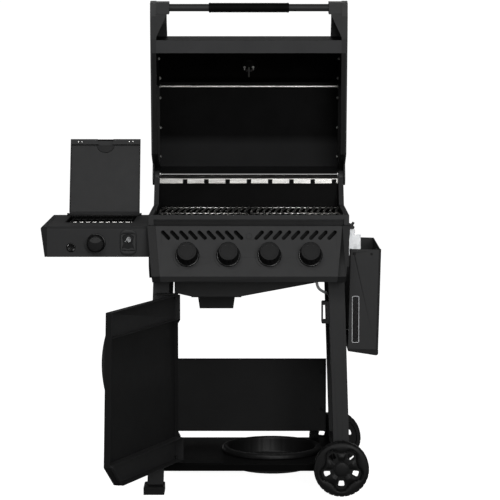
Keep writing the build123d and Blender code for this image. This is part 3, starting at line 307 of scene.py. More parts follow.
CAD_MATERIALS = {
    "powder": """front_legs rear_legs control_panel left_shelf_top left_shelf_fascia right_shelf_top
        right_shelf_fascia side_burner_lid lid_handle_tube""",
    # painted shade: these parts get the darker copies of the powder coat
    "powder_painted_shade": "door_skin back_panel side_rails hinge_fittings",
    "powder_painted_half_shade": "door_liner",
    # painted shade on the bottom shelf
    "painted_shade_black": "bottom_shelf",
    "tray_grey": "grease_tray drip_cup_holder drip_cup",
    "casting": "firebox_sides",
    "front_casting": "firebox_front_wall",
    "lid_casting": "lid_side_castings",
    "lid_enamel": "lid_shell",
    "enamel": "firebox_rear_wall side_burner_pan",
    "iron": "flame_tamers",
    "steel": "heat_deflector tube_burners lid_tie_rod wheel_axle",
    "galvanised": "right_shelf_bracket",
    "brass": "burner_valves gas_manifold",
    "nylon": "leg_feet door_catch panel_end_caps left_shelf_end_cap right_shelf_end_cap",
    "ceramic": "spark_electrodes",
}


def soften(node, width):
    """Round a CAD part's edges a little, as folding, moulding and coating do."""
    piece = frame["nodes"][node]
    weld = piece.modifiers.new("weld", "WELD")
    weld.merge_threshold = 0.00002
    bevel = piece.modifiers.new("edges", "BEVEL")
    bevel.width = width * MM
    bevel.segments = 2
    bevel.limit_method = "ANGLE"
    bevel.angle_limit = radians(35)
    bevel.harden_normals = True


EDGE_RADII = {
    "front_legs": 0.9, "rear_legs": 0.9, "control_panel": 0.7, "left_shelf_top": 0.6,
    "left_shelf_fascia": 0.7, "right_shelf_top": 0.6, "right_shelf_fascia": 0.7, "bottom_shelf": 0.8,
    "door_skin": 0.8, "door_liner": 0.8, "firebox_sides": 1.5, "firebox_front_wall": 0.6,
    "lid_side_castings": 1.6, "leg_feet": 2.0, "panel_end_caps": 1.0, "left_shelf_end_cap": 2.2,
    "right_shelf_end_cap": 2.2, "door_catch": 1.0, "right_shelf_bracket": 0.5, "back_panel": 0.7,
    "side_burner_lid": 0.6, "drip_cup": 0.4,
}

for finish, names in CAD_MATERIALS.items():
    for node_name in names.split():
        node_mesh = frame["nodes"][node_name].data
        node_mesh.materials.clear()
        node_mesh.materials.append(MATERIALS[finish])
for node_name, edge_radius in EDGE_RADII.items():
    soften(node_name, edge_radius)


# ---------------------------------------------------------------- mesh tools
def piece(name, mesh, finish, body, slot, replaces=(), sharp=35):
    """A finished piece: its mesh in place, its material and the body that it rides on; slot, what it stands
    for, is not used.
    """
    data = bpy.data.meshes.new(name)
    bmesh.ops.remove_doubles(mesh, verts=mesh.verts, dist=0.000005)
    bmesh.ops.recalc_face_normals(mesh, faces=mesh.faces)
    mesh.to_mesh(data)
    mesh.free()
    data.shade_smooth()
    data.set_sharp_from_angle(angle=radians(sharp))
    data.materials.append(MATERIALS[finish])
    made = bpy.data.objects.new(name, data)
    bpy.context.scene.collection.objects.link(made)
    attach(made, body)
    if replaces:
        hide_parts(*replaces)
    return made


def facing(origin, outward, x_dir=(1, 0, 0)):
    """A placement whose Z points outward from origin, and whose X is along x_dir."""
    z = Vector(outward).normalized()
    x = Vector(x_dir)
    x = (x - x.dot(z) * z).normalized()
    y = z.cross(x)
    placed = Matrix((x, y, z)).transposed().to_4x4()
    placed.translation = Vector(origin)
    return placed


def add_rings(mesh, rings, closed_ends=True):
    """Skin between rings of points that have the same number of corners."""
    rows = [[mesh.verts.new(point) for point in ring] for ring in rings]
    for lower, upper in zip(rows, rows[1:]):
        for i in range(len(lower)):
            j = (i + 1) % len(lower)
            mesh.faces.new((lower[i], lower[j], upper[j], upper[i]))
    if closed_ends:
        mesh.faces.new(rows[0][::-1])
        mesh.faces.new(rows[-1])


def add_turned(mesh, place, profile, segments=48, shape=None):
    """A turned solid from (radius, height) pairs in mm about place's Z; shape may change a radius."""
    rings = []
    for radius, height in profile:
        ring = []
        for i in range(segments):
            angle = 2 * pi * i / segments
            r = shape(angle, radius, height) if shape else radius
            ring.append(place @ mm(r * cos(angle), r * sin(angle), height))
        rings.append(ring)
    add_rings(mesh, rings)


def add_rod(mesh, start, end, radius, segments=20, edge=0.6):
    """A round bar between two points in millimetres, with eased ends."""
    start, end = Vector(start), Vector(end)
    length = (end - start).length
    along = (end - start).normalized()
    side = (0, 1, 0) if abs(along.x) > 0.9 else (1, 0, 0)
    profile = [(radius - edge, 0), (radius, edge), (radius, length - edge), (radius - edge, length)]
    add_turned(mesh, facing(start * MM, along, side), profile, segments)


def rounded_outline(wide, high, corner, steps=6):
    """A rectangle with round corners, centred on the origin."""
    points = []
    for sx, sy, first in ((1, 1, 0), (-1, 1, 90), (-1, -1, 180), (1, -1, 270)):
        for i in range(steps + 1):
            angle = radians(first + 90 * i / steps)
            points.append((sx * (wide / 2 - corner) + corner * cos(angle),
                           sy * (high / 2 - corner) + corner * sin(angle)))
    return points


def add_plate(mesh, place, outline, low, high, ease=0.5):
    """A plate of the outline between two heights, with eased edges."""
    centre_x = sum(x for x, y in outline) / len(outline)
    centre_y = sum(y for x, y in outline) / len(outline)
    reach = max(hypot(x - centre_x, y - centre_y) for x, y in outline)
    shrink = 1 - ease / reach
    rings = []
    for height, scale in ((low, shrink), (low + ease, 1), (high - ease, 1), (high, shrink)):
        rings.append([
            place @ mm(centre_x + (x - centre_x) * scale, centre_y + (y - centre_y) * scale, height)
            for x, y in outline
        ])
    add_rings(mesh, rings)


def add_frame(mesh, place, wide, high, corner, line, low, top):
    """A thin raised border: the ring between two rounded rectangles."""
    outer = rounded_outline(wide, high, corner)
    inner = rounded_outline(wide - 2 * line, high - 2 * line, corner - line)
    rows = []
    for outline, height in ((outer, low), (outer, top), (inner, top), (inner, low)):
        rows.append([mesh.verts.new(place @ mm(x, y, height)) for x, y in outline])
    for a, b in zip(rows, rows[1:] + rows[:1]):
        for i in range(len(a)):
            j = (i + 1) % len(a)
            mesh.faces.new((a[i], a[j], b[j], b[i]))


def add_swept(mesh, path, section, up=(0, 0, 1), closed_ends=True):
    """A closed section of (side, up) points in millimetres swept along a list of points in metres."""
    rings = []
    for i, point in enumerate(path):
        ahead = path[min(i + 1, len(path) - 1)] - path[max(i - 1, 0)]
        ahead.normalize()
        side = ahead.cross(Vector(up)).normalized()
        top = side.cross(ahead)
        rings.append([point + side * a * MM + top * b * MM for a, b in section])
    add_rings(mesh, rings, closed_ends)


def circle(radius, segments=12):
    return [(radius * cos(2 * pi * i / segments), radius * sin(2 * pi * i / segments))
            for i in range(segments)]


def add_screw(mesh, place, radius, head=2.6, socket=True):
    """A button-head screw with a six-sided socket."""
    profile = [(radius * 0.98, -0.5), (radius, 0.3), (radius * 0.93, head * 0.62),
               (radius * 0.72, head * 0.92), (radius * 0.46, head)]
    if socket:
        profile += [(radius * 0.42, head * 0.96), (radius * 0.40, head * 0.3)]
    add_turned(mesh, place, profile, 18)


def add_hex_bolt(mesh, place, radius, height):
    """A flanged hexagon nut with the domed end of its bolt."""
    add_turned(mesh, place, [(radius, 0), (radius, 0.8), (radius * 0.84, 1.2)], 24)
    add_turned(mesh, place, [(radius * 0.8, 1.0), (radius * 0.82, 1.3), (radius * 0.82, height - 1.2),
                             (radius * 0.68, height - 0.6)], 6)
    add_turned(mesh, place, [(radius * 0.4, height - 1), (radius * 0.4, height),
                             (radius * 0.2, height + 0.7)], 16)


# ---------------------------------------------------------------- places taken from the frame
def hinge_at(name):
    return Vector(JOINTS[name]["pos_m"])


def turned(name, degrees_back):
    """The motion of a hinge by an angle against its positive direction."""
    pivot = Matrix.Translation(hinge_at(name))
    return pivot @ Matrix.Rotation(-radians(degrees_back), 4, Vector(JOINTS[name]["axis"])) @ pivot.inverted()


LID_OPENED = turned("lid_hinge", JOINTS["lid_hinge"]["range_deg"][1])
SIDE_LID_OPENED = turned("side_burner_lid_hinge", JOINTS["side_burner_lid_hinge"]["range_deg"][1])
DOOR_OPENED = turned("door_hinge", JOINTS["door_hinge"]["range_deg"][1])


def middle(node):
    low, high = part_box(node)
    return (low + high) / 2


# ---------------------------------------------------------------- cooking surface
ROD_PITCH, ROD_COUNT, ROD_RADIUS = 20.35, 15, 3.7
WAVE_REACH, WAVE_LENGTH, WAVE_PHASE_Y = 6.5, 320, 195


def wave_x(y):
    """Sideways offset of a cooking rod at depth y."""
    return WAVE_REACH * cos(2 * pi * (y - WAVE_PHASE_Y) / WAVE_LENGTH)


def make_grid(node):
    """One cooking grid: waved rods welded on three cross bars."""
    low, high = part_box(node)
    first_x = low.x / MM + 10 - (4 - ROD_RADIUS)
    height = (high.z / MM) - ROD_RADIUS
    front, back = low.y / MM + ROD_RADIUS, high.y / MM - ROD_RADIUS
    mesh = bmesh.new()
    steps = 40
    for rod in range(ROD_COUNT):
        x = first_x + rod * ROD_PITCH
        path = [mm(x + wave_x(y), y, height)
                for y in (front + (back - front) * i / steps for i in range(steps + 1))]
        add_swept(mesh, path, circle(ROD_RADIUS, 10))
    for y in (front + 1, (front + back) / 2, back - 1):
        add_rod(mesh, (low.x / MM, y, height - 1.6), (high.x / MM, y, height - 1.6), 2.2, 10)
    piece(f"{node}_rods", mesh, "rod", "cart", "stainless", [node], 60)


for grid_node in ("left_cooking_grid", "right_cooking_grid"):
    make_grid(grid_node)


# ---------------------------------------------------------------- control knobs
KNOB_FLUTES = 14


def fluted(depth, low, high):
    """Scallops that fade in above low and out below high."""

    def shape(angle, radius, height):
        if height < low or height > high:
            return radius
        fade = min(1.0, (height - low) / 4, (high - height) / 2.5)
        return radius - depth * fade * (0.5 - 0.5 * cos(KNOB_FLUTES * angle)) ** 2

    return shape


def make_knob(node, joint, radius, height):
    """A fluted knob: skirt, scalloped side and a flat face with a fine ring and small raised dots."""
    body = JOINTS[joint]["child"]
    place = facing(JOINTS[joint]["pos_m"], JOINTS[joint]["axis"])
    grip = radius * 0.93
    line = grip * 0.76
    mesh = bmesh.new()
    profile = [(8, 4.6), (radius - 1.2, 4.6), (radius, 5.6), (radius, 8.4), (radius - 1.2, 10.2),
               (grip + 0.4, 11.6), (grip, 13), (grip - 0.1, 17)]
    rise = height - 17
    profile += [(grip - 0.1 - 0.7 * t, 17 + rise * t) for t in (0.25, 0.5, 0.75, 0.9)]
    profile += [(grip - 1.5, height - 0.9), (grip - 2.4, height - 0.2), (grip - 3.4, height),
                (line + 0.7, height), (line + 0.4, height - 0.7), (line - 0.4, height - 0.7),
                (line - 0.7, height), (grip * 0.4, height + 0.3), (4, height + 0.4)]
    add_turned(mesh, place, profile, 168, fluted(2.4, 11, height - 0.5))
    piece(f"{node}_body", mesh, "knob", body, "moulded_black", [node], 42)
    mesh = bmesh.new()
    for turn, reach in ((63, 0.64), (117, 0.64), (90, 0.86)):
        angle = radians(turn)
        dot = place @ Matrix.Translation(mm(grip * reach * cos(angle), grip * reach * sin(angle), 0))
        add_turned(mesh, dot, [(1.5, height - 0.2), (1.5, height + 0.7), (0.8, height + 1.0)], 14)
    piece(f"{node}_marks", mesh, "gloss", body, "moulded_black")


KNOBS = {f"knob_{number}_turn": (f"burner_knob_{number}", 35.0, 46.0) for number in range(1, 5)}
KNOBS["side_knob_turn"] = ("side_burner_knob", 28.0, 36.0)
for joint_name, (knob_node, knob_radius, knob_height) in KNOBS.items():
    make_knob(knob_node, joint_name, knob_radius, knob_height)

# painted shadow: a dark crescent of dial ink along the upper edge of the side knob's face
side_knob_place = facing(JOINTS["side_knob_turn"]["pos_m"], JOINTS["side_knob_turn"]["axis"])
mesh = bmesh.new()
shadow_outline = [(22 * cos(radians(a)), 22 * sin(radians(a))) for a in range(28, 153, 4)]
shadow_outline += [(x, 10.3 - 7.5 * (1 - (x / 19.4) ** 2)) for x in range(-17, 18, 3)]
add_plate(mesh, side_knob_place, shadow_outline, 36.0, 36.6, 0.2)
piece("side_knob_painted_shadow", mesh, "ink", "side_burner_knob", "moulded_black")

mesh = bmesh.new()
for joint_name, (knob_node, knob_radius, knob_height) in KNOBS.items():
    joint_place = facing(JOINTS[joint_name]["pos_m"], JOINTS[joint_name]["axis"])
    outer = knob_radius + 4 if knob_radius > 30 else knob_radius + 3
    add_turned(mesh, joint_place, [
        (8, 0.1), (outer, 0.1), (outer, 1.4), (outer - 0.8, 2.6), (outer - 2.2, 3.3), (outer - 4, 3.5),
        (8, 3.3),
    ], 96)
igniter_place = facing(Vector((middle("igniter_button").x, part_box("left_shelf_fascia")[0].y,
                               middle("igniter_button").z)),
                       (0, -1, 0))
ring = [(11.4, 0.1), (15, 0.1), (15, 1.6), (14.2, 2.9), (13, 3.5), (12, 3.2), (11.4, 2.4)]
rows = []
for radius, height in ring:
    rows.append([mesh.verts.new(igniter_place @ mm(radius * cos(2 * pi * i / 48),
                                                   radius * sin(2 * pi * i / 48), height))
                 for i in range(48)])
for lower, upper in zip(rows, rows[1:] + rows[:1]):
    for i in range(48):
        j = (i + 1) % 48
        mesh.faces.new((lower[i], lower[j], upper[j], upper[i]))
piece("bezel_rings", mesh, "gloss", "cart", "bezel", ["knob_bezels"], 50)

mesh = bmesh.new()
add_turned(mesh, igniter_place, [
    (9.5, -20), (11, -19), (11, 6.4), (10.6, 7.8), (9.4, 8.6), (8.2, 8.4), (7.4, 7.4), (3, 6.8), (1, 6.7),
], 48)
piece("igniter_cap", mesh, "gloss", "igniter_button", "bezel", ["igniter_button"], 40)

# a printed arc beside each knob shows how far it turns
mesh = bmesh.new()
for joint_name, (knob_node, knob_radius, knob_height) in KNOBS.items():
    joint_place = facing(JOINTS[joint_name]["pos_m"], JOINTS[joint_name]["axis"])
    sweep_angles = [radians(165 + 3 * i) for i in range(25)]
    reach = knob_radius + 11
    arc = [((reach + 0.2 + 1.6 * i / 24) * cos(a), (reach + 0.2 + 1.6 * i / 24) * sin(a))
           for i, a in enumerate(sweep_angles)]
    arc += [(reach * cos(a), reach * sin(a)) for a in sweep_angles[::-1]]
    rows = [[mesh.verts.new(joint_place @ mm(x, y, z)) for x, y in arc] for z in (-0.2, 0.15)]
    for i in range(len(arc)):
        j = (i + 1) % len(arc)
        mesh.faces.new((rows[0][i], rows[0][j], rows[1][j], rows[1][i]))
    half = len(arc) // 2
    for row in rows:
        for i in range(half - 1):
            mesh.faces.new((row[i], row[i + 1], row[-2 - i], row[-1 - i]))
piece("knob_scales", mesh, "scale", "cart", "cart_paint")

# ---------------------------------------------------------------- lid: handle, gauge, bolts
grip_low, grip_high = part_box("lid_handle_grip")
grip_y, grip_z = middle("lid_handle_grip").y / MM, middle("lid_handle_grip").z / MM
grip_start, grip_end = grip_low.x / MM, grip_high.x / MM
mesh = bmesh.new()
profile = [(12.6, 0), (15.4, 0.2), (16.3, 1.4), (16.5, 3), (16.5, 7), (15.6, 8)]
length = grip_end - grip_start
rib_count = 56
for rib in range(rib_count):
    start = 9 + (length - 18) * rib / rib_count
    step = (length - 18) / rib_count
    profile += [(15.5, start + step * 0.1), (16.1, start + step * 0.3), (16.1, start + step * 0.7),
                (15.5, start + step * 0.9)]
profile += [(15.6, length - 8), (16.5, length - 7), (16.5, length - 3), (16.3, length - 1.4),
            (15.4, length - 0.2), (12.6, length)]
add_turned(mesh, facing(mm(grip_start, grip_y, grip_z), (1, 0, 0), (0, 1, 0)), profile, 40)
piece("handle_grip_sleeve", mesh, "grip", "lid", "grip", ["lid_handle_grip"], 60)


def lid_facing(point, outward, x_dir=(1, 0, 0)):
    return LID_OPENED @ facing(mm(*point), outward, x_dir)


LID_FRONT_LOW, LID_TOP_FRONT, LID_TOP_BACK = (-250, 1012), (-63, 1192), (234, 1162)


def lid_point(a, b, share):
    return tuple(p + (q - p) * share for p, q in zip(a, b))


GAUGE = lid_point(LID_FRONT_LOW, LID_TOP_FRONT, 0.61)
FACET_OUT = (0, LID_FRONT_LOW[1] - LID_TOP_FRONT[1], LID_TOP_FRONT[0] - LID_FRONT_LOW[0])
gauge_place = lid_facing((0, *GAUGE), FACET_OUT)

mesh = bmesh.new()
add_turned(mesh, gauge_place, [
    (29, 0.1), (38, 0.1), (38, 3), (37.4, 5), (36.6, 9.4), (35.6, 11.6), (34, 12.9), (32.6, 12.9),
    (31.8, 11.8), (31.4, 9.2), (30, 9), (4, 9),
], 72)
piece("gauge_bezel", mesh, "chrome", "lid", "gauge", ["lid_thermometer"])
mesh = bmesh.new()
add_turned(mesh, gauge_place, [(31.2, 9.1), (31.2, 9.6), (2, 9.6)], 64)
piece("gauge_dial", mesh, "dial", "lid", "gauge")
mesh = bmesh.new()
for tick in range(31):
    angle = radians(225 - 270 * tick / 30)
    long_tick = tick % 5 == 0
    inner, outer = (23.5 if long_tick else 26, 29.5)
    tick_place = (gauge_place @ Matrix.Rotation(angle, 4, "Z")
                  @ Matrix.Translation(mm((inner + outer) / 2, 0, 0)))
    add_plate(mesh, tick_place,
              rounded_outline(outer - inner, 1.2 if long_tick else 0.6, 0.25, 2), 9.5, 9.9, 0.1)
piece("gauge_ticks", mesh, "ink", "lid", "gauge")
mesh = bmesh.new()
needle_place = gauge_place @ Matrix.Rotation(radians(212), 4, "Z")
add_plate(mesh, needle_place, [(-7, -1.4), (20, -0.5), (24, 0), (20, 0.5), (-7, 1.4)], 10.1, 10.8, 0.2)
add_turned(mesh, needle_place, [(3.2, 9.6), (3.2, 11), (2, 11.4)], 24)
piece("gauge_needle", mesh, "needle", "lid", "gauge")

# back of the gauge, inside the lid: a domed bracket with a slotted crown, two studs, wing nuts and the probe
behind = lid_facing((0, *GAUGE), tuple(-v for v in FACET_OUT))
mesh = bmesh.new()
add_turned(mesh, behind, [(29.5, 0.5), (31, 3), (31, 5), (29, 8), (22, 11.5), (14, 13.5), (6, 14.2)], 56)
for side in (-1, 1):
    add_plate(mesh, behind @ Matrix.Translation(mm(side * 15, 4, 0)), rounded_outline(11, 11, 3), 10, 15, 0.8)
piece("gauge_bracket", mesh, "enamel", "lid", "enamel")
mesh = bmesh.new()
for side in (-1, 1):
    stud = behind @ Matrix.Translation(mm(side * 15, 4, 0))
    add_turned(mesh, stud, [(2, 14), (2, 26), (1.4, 26.8)], 16)
    add_hex_bolt(mesh, stud @ Matrix.Translation(mm(0, 0, 14.6)), 5.2, 4.6)
for row in (-1, 1):
    for side in (-1, 1):
        add_plate(mesh, behind @ Matrix.Translation(mm(side * 6.5, -17 + row * 3.4, 0)),
                  rounded_outline(7, 2.6, 0.8), 11.4, 13.6, 0.4)
add_turned(mesh, behind, [(3.4, 12), (3.4, 18), (3, 19), (3, 52), (2, 54.6)], 20)
piece("gauge_studs", mesh, "zinc", "lid", "fastener")


NUT_SPOTS = [lid_point(LID_TOP_BACK, LID_TOP_FRONT, share) for share in (0.13, 0.47, 0.82)]
FRONT_NUT_SPOTS = [lid_point(LID_TOP_FRONT, LID_FRONT_LOW, share) for share in (0.16, 0.59, 0.80)]
NUT_INSET = 14.0
CASTING_IN_X = 312.0
mesh = bmesh.new()
nut_centres = [(y - 1, z - NUT_INSET) for y, z in NUT_SPOTS]
nut_centres += [(y + NUT_INSET * 0.7, z - NUT_INSET * 0.72) for y, z in FRONT_NUT_SPOTS]
for side in (-1, 1):
    for y, z in nut_centres:
        add_hex_bolt(mesh, lid_facing((side * CASTING_IN_X, y, z), (-side, 0, 0), (0, 1, 0)), 6.4, 5.6)
piece("lid_hex_nuts", mesh, "zinc", "lid", "fastener", ["lid_nuts"])

mesh = bmesh.new()
for side in (-1, 1):
    add_hex_bolt(mesh, facing(Vector((side * CASTING_IN_X * MM, middle("lid_tie_rod").y,
                                      middle("lid_tie_rod").z)),
                              (-side, 0, 0), (0, 1, 0)), 7.5, 5)
piece("tie_rod_nuts", mesh, "zinc", "lid", "fastener")

# ---------------------------------------------------------------- wheels
WHEEL_R, WHEEL_WIDTH = 90.0, 37.0
WINDOW_AT, WINDOW_REACH, WINDOW_HALF_ANGLE = 49.0, 10.5, 11.0
WHEEL_STEPS = 180
TREAD_BLOCKS = 30


def lobe(angle):
    """1 beside a window and -1 between two windows, flat-topped."""
    wave = cos(5 * (angle + pi / 2))
    return wave * (1.35 - 0.35 * wave * wave)


def wheel_relief(radius, angle):
    """Depth of the wheel's face below its rim, in millimetres."""
    groove_at = 64 + 7.5 * lobe(angle)
    if radius < 22.5:
        return 1.5 - 3.2 * sqrt(max(0, 1 - (radius / 23.5) ** 2)) + 1.8
    if radius < 26:
        return 9.0
    if radius > groove_at + 1.6:
        return 2.2 - 1.9 * sin(pi * min(1, (radius - groove_at) / (84 - groove_at)))
    if radius > groove_at - 1.0:
        return 4.6
    if radius > groove_at - 3.2:
        return 2.6
    spoke = max(0.0, -lobe(angle)) ** 0.7
    return 10.5 - 4.5 * spoke * max(0.0, 1 - abs(radius - 40) / 16)


def tread(angle, share):
    """How far the tyre's edge is cut back at an angle, in millimetres; share runs from face to face."""
    phase = (angle * TREAD_BLOCKS / (2 * pi) + (0.5 if share > 0.5 else 0)) % 1
    return 2.4 if phase < 0.24 and abs(share - 0.5) > 0.14 else 0.0


def in_window(radius, angle):
    turn = (degrees(angle) + 90 + 36) % 72 - 36
    reach = abs(radius - WINDOW_AT)
    half = WINDOW_HALF_ANGLE - (2.2 if reach > WINDOW_REACH - 2.5 else 0)
    return reach < WINDOW_REACH and abs(turn) < half


def make_wheel(node, joint, outward):
    """A moulded wheel: domed hub, five windows, a lobed groove and tread blocks round the rim."""
    body = JOINTS[joint]["child"]
    low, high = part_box(node)
    face_y = low.y if outward < 0 else high.y
    hub_end = (high.y - low.y) / MM
    place = facing((JOINTS[joint]["pos_m"][0], face_y, JOINTS[joint]["pos_m"][2]), (0, outward, 0))
    radii = ([0.01, 6, 12, 17, 20, 22, 22.6, 23.4, 25.6, 26.4, 30, 34]
             + [36.5 + 2 * i for i in range(24)] + [84.5, 86.5, 88])
    angles = [2 * pi * (i + 0.5) / WHEEL_STEPS for i in range(WHEEL_STEPS)]
    mesh = bmesh.new()

    def ring(radius, depth_of):
        return [mesh.verts.new(place @ mm(radius * cos(a), radius * sin(a), -depth_of(a))) for a in angles]

    front = [ring(r, lambda a, r=r: wheel_relief(r, a)) for r in radii]
    back = [ring(r, lambda a, r=r: WHEEL_WIDTH - (2 if r > 76 else 11)) for r in radii if r > 20]
    rim = []
    for share, inset in ((0.02, 1.2), (0.06, 0.2), (0.3, 0), (0.37, 0),
                         (0.63, 0), (0.7, 0), (0.94, 0.2), (0.98, 1.2)):
        rim.append([
            mesh.verts.new(place @ mm((WHEEL_R - inset - tread(a, share)) * cos(a),
                                      (WHEEL_R - inset - tread(a, share)) * sin(a), -WHEEL_WIDTH * share))
            for a in angles
        ])
    back_radii = [r for r in radii if r > 20]
    kept_front, kept_back = {}, {}

    def skin(rows, row_radii, kept):
        for k in range(len(rows) - 1):
            middle_r = (row_radii[k] + row_radii[k + 1]) / 2
            for i in range(WHEEL_STEPS):
                j = (i + 1) % WHEEL_STEPS
                middle_a = 2 * pi * (i + 1) / WHEEL_STEPS
                if in_window(middle_r, middle_a):
                    continue
                kept[(round(row_radii[k], 2), i)] = True
                mesh.faces.new((rows[k][i], rows[k][j], rows[k + 1][j], rows[k + 1][i]))

    skin(front, radii, kept_front)
    skin(back, back_radii, kept_back)
    outer = [front[-1], *rim, back[-1]]
    for a, b in zip(outer, outer[1:]):
        for i in range(WHEEL_STEPS):
            j = (i + 1) % WHEEL_STEPS
            mesh.faces.new((a[i], a[j], b[j], b[i]))
    offset = len(radii) - len(back_radii)
    for k in range(len(back_radii) - 1):
        middle_r = (back_radii[k] + back_radii[k + 1]) / 2
        for i in range(WHEEL_STEPS):
            j, middle_a = (i + 1) % WHEEL_STEPS, 2 * pi * (i + 1) / WHEEL_STEPS
            if not in_window(middle_r, middle_a):
                continue
            f, g, s, t = front[k + offset], front[k + offset + 1], back[k], back[k + 1]
            below_r = (back_radii[k - 1] + back_radii[k]) / 2
            above_r = (back_radii[k + 1] + back_radii[k + 2]) / 2
            step = 2 * pi / WHEEL_STEPS
            if not in_window(below_r, middle_a):
                mesh.faces.new((f[i], f[j], s[j], s[i]))
            if not in_window(above_r, middle_a):
                mesh.faces.new((g[i], g[j], t[j], t[i]))
            if not in_window(middle_r, middle_a - step):
                mesh.faces.new((f[i], g[i], t[i], s[i]))
            if not in_window(middle_r, middle_a + step):
                mesh.faces.new((f[j], g[j], t[j], s[j]))
    hub = [ring(r, lambda a, d=d: d) for r, d in ((20, 26), (20, hub_end - 1), (19, hub_end), (6.3, hub_end))]
    bore = [ring(6.3, lambda a: 12), ring(0.02, lambda a: 12)]
    chain = [back[0], *hub, *bore]
    for a, b in zip(chain, chain[1:]):
        for i in range(WHEEL_STEPS):
            j = (i + 1) % WHEEL_STEPS
            mesh.faces.new((a[i], a[j], b[j], b[i]))
    for rib in range(5):
        rib_place = place @ Matrix.Rotation(radians(72 * rib - 54), 4, "Z") @ Matrix.Translation(mm(48, 0, 0))
        add_plate(mesh, rib_place, rounded_outline(54, 2.6, 1), -(WHEEL_WIDTH - 3), -(WHEEL_WIDTH - 12), 0.4)
    piece(f"{node}_moulding", mesh, "tyre", body, "moulded_black", [node], 38)


make_wheel("front_wheel", "front_wheel_spin", -1)
make_wheel("rear_wheel", "rear_wheel_spin", 1)

# ---------------------------------------------------------------- left shelf: opener and side burner
opener_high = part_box("bottle_opener")[1]
opener_place = facing(Vector((middle("bottle_opener").x, opener_high.y, middle("bottle_opener").z)),
                      (0, -1, 0))
mesh = bmesh.new()
outline = rounded_outline(54, 85, 21, 10)
recess = rounded_outline(50, 58, 9, 10)
rows = []
for shape, scale, height in ((outline, 0.99, 0.1), (outline, 1, 1.2), (outline, 0.98, 3.4),
                             (outline, 0.95, 4.6), (recess, 1.0, 4.8), (recess, 0.98, 4.2),
                             (recess, 0.96, 1.6)):
    rows.append([opener_place @ mm(x * scale, y * scale, height) for x, y in shape])
add_rings(mesh, rows)
piece("opener_housing", mesh, "powder", "cart", "moulded_black", ["bottle_opener"], 50)
# painted shade: a dark ink sheet on the recess floor and a dark bow along the saddle's lower edge, where the
# pocket lies in shade
mesh = bmesh.new()
add_plate(mesh, opener_place, rounded_outline(48, 55, 8, 10), 1.5, 2.0, 0.2)
bow = [(-21, -24), (-17, -19), (-10, -18), (-3, -21), (3, -21), (10, -18), (17, -19), (21, -24), (14, -23),
       (0, -25.5), (-14, -23)]
add_plate(mesh, opener_place, bow, 8.6, 9.4, 0.2)
piece("opener_painted_shade", mesh, "ink", "cart", "moulded_black")
mesh = bmesh.new()
saddle = [(-20, -25), (20, -25), (18, -14), (14, -4), (16, 8), (18, 19), (12, 25), (4, 27.5), (-4, 27.5),
          (-12, 25), (-18, 19), (-16, 8), (-14, -4), (-18, -14)]
add_plate(mesh, opener_place, saddle, 1.9, 8.6, 1.8)
piece("opener_saddle", mesh, "nylon", "cart", "moulded_black", (), 30)
mesh = bmesh.new()
add_plate(mesh, opener_place @ Matrix.Translation(mm(2.5, 9, 0)),
          [(-9, -6), (-5, -2), (-2, -8), (3, -9), (8, -5), (9, 3), (5, 9), (-1, 12), (-6, 8), (-10, 1)],
          8.4, 14.4, 1.4)
add_turned(mesh, opener_place @ Matrix.Translation(mm(-8, 4, 0)), [(3, 8.4), (3, 12), (1.8, 12.8)], 16)
piece("opener_tongue", mesh, "chrome", "cart", "moulded_black", (), 25)

burner_x, burner_y = middle("side_burner_pan").x / MM, middle("side_burner_pan").y / MM
mesh = bmesh.new()
add_turned(mesh, Matrix.Translation(mm(burner_x, burner_y, 0)), [
    (14, 806), (15, 808), (15, 846), (22, 848), (36, 849), (39.5, 850.5), (40, 852), (39.5, 855), (37, 856.2),
    (34, 856.4), (33.5, 858), (31, 860), (26, 860.8), (6, 861),
], 72, lambda angle, radius, height: radius - (1.6 if 850 < height < 855.5 and sin(36 * angle) > 0.2 else 0))
add_rod(mesh, (burner_x + 6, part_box("side_burner_head")[0].y / MM, 820),
        (burner_x + 6, burner_y, 820), 13, 28, 1)
piece("side_burner_casting", mesh, "brass", "cart", "brass", ["side_burner_head"], 40)

grate_low, grate_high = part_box("side_burner_grate")
bar_z = grate_high.z / MM - 3.5
BAR_COUNT, BAR_PITCH = 10, 22
bar_front, bar_back = grate_low.y / MM, grate_high.y / MM
mesh = bmesh.new()
for bar in range(BAR_COUNT):
    bar_x = burner_x + (bar - (BAR_COUNT - 1) / 2) * BAR_PITCH
    path = [mm(bar_x, bar_front + 4, bar_z - 7), mm(bar_x, bar_front + 1.5, bar_z - 3.5),
            mm(bar_x, bar_front + 3.2, bar_z - 0.6), mm(bar_x, bar_front + 7, bar_z + 0.2)]
    path += [mm(bar_x, bar_front + 7 + (bar_back - bar_front - 14) * i / 8, bar_z + 0.2) for i in range(1, 9)]
    path += [mm(bar_x, bar_back - 3.2, bar_z - 0.6), mm(bar_x, bar_back - 1.5, bar_z - 3.5),
             mm(bar_x, bar_back - 4, bar_z - 7)]
    add_swept(mesh, path, circle(3, 10), (1, 0, 0))
piece("burner_grate_bars", mesh, "iron", "cart", "stainless", ["side_burner_grate"], 60)
mesh = bmesh.new()
left_x, right_x = grate_low.x / MM, grate_high.x / MM
for y in (bar_front + 3.5, bar_back - 3.5):
    add_rod(mesh, (left_x, y, bar_z - 5), (right_x, y, bar_z - 5), 3, 14)
for x in (left_x + 3, right_x - 3):
    for y in (bar_front + 3.5, bar_back - 3.5):
        add_rod(mesh, (x, y, grate_low.z / MM), (x, y, bar_z - 4), 2.8, 14)
    add_rod(mesh, (x, bar_front + 3.5, bar_z - 5), (x, bar_back - 3.5, bar_z - 5), 3, 14)
piece("burner_grate_frame", mesh, "iron", "cart", "stainless")
mesh = bmesh.new()
add_rod(mesh, (left_x + 1, burner_y + 3, bar_z - 4.1), (right_x - 1, burner_y + 3, bar_z - 4.1), 2.6, 16)
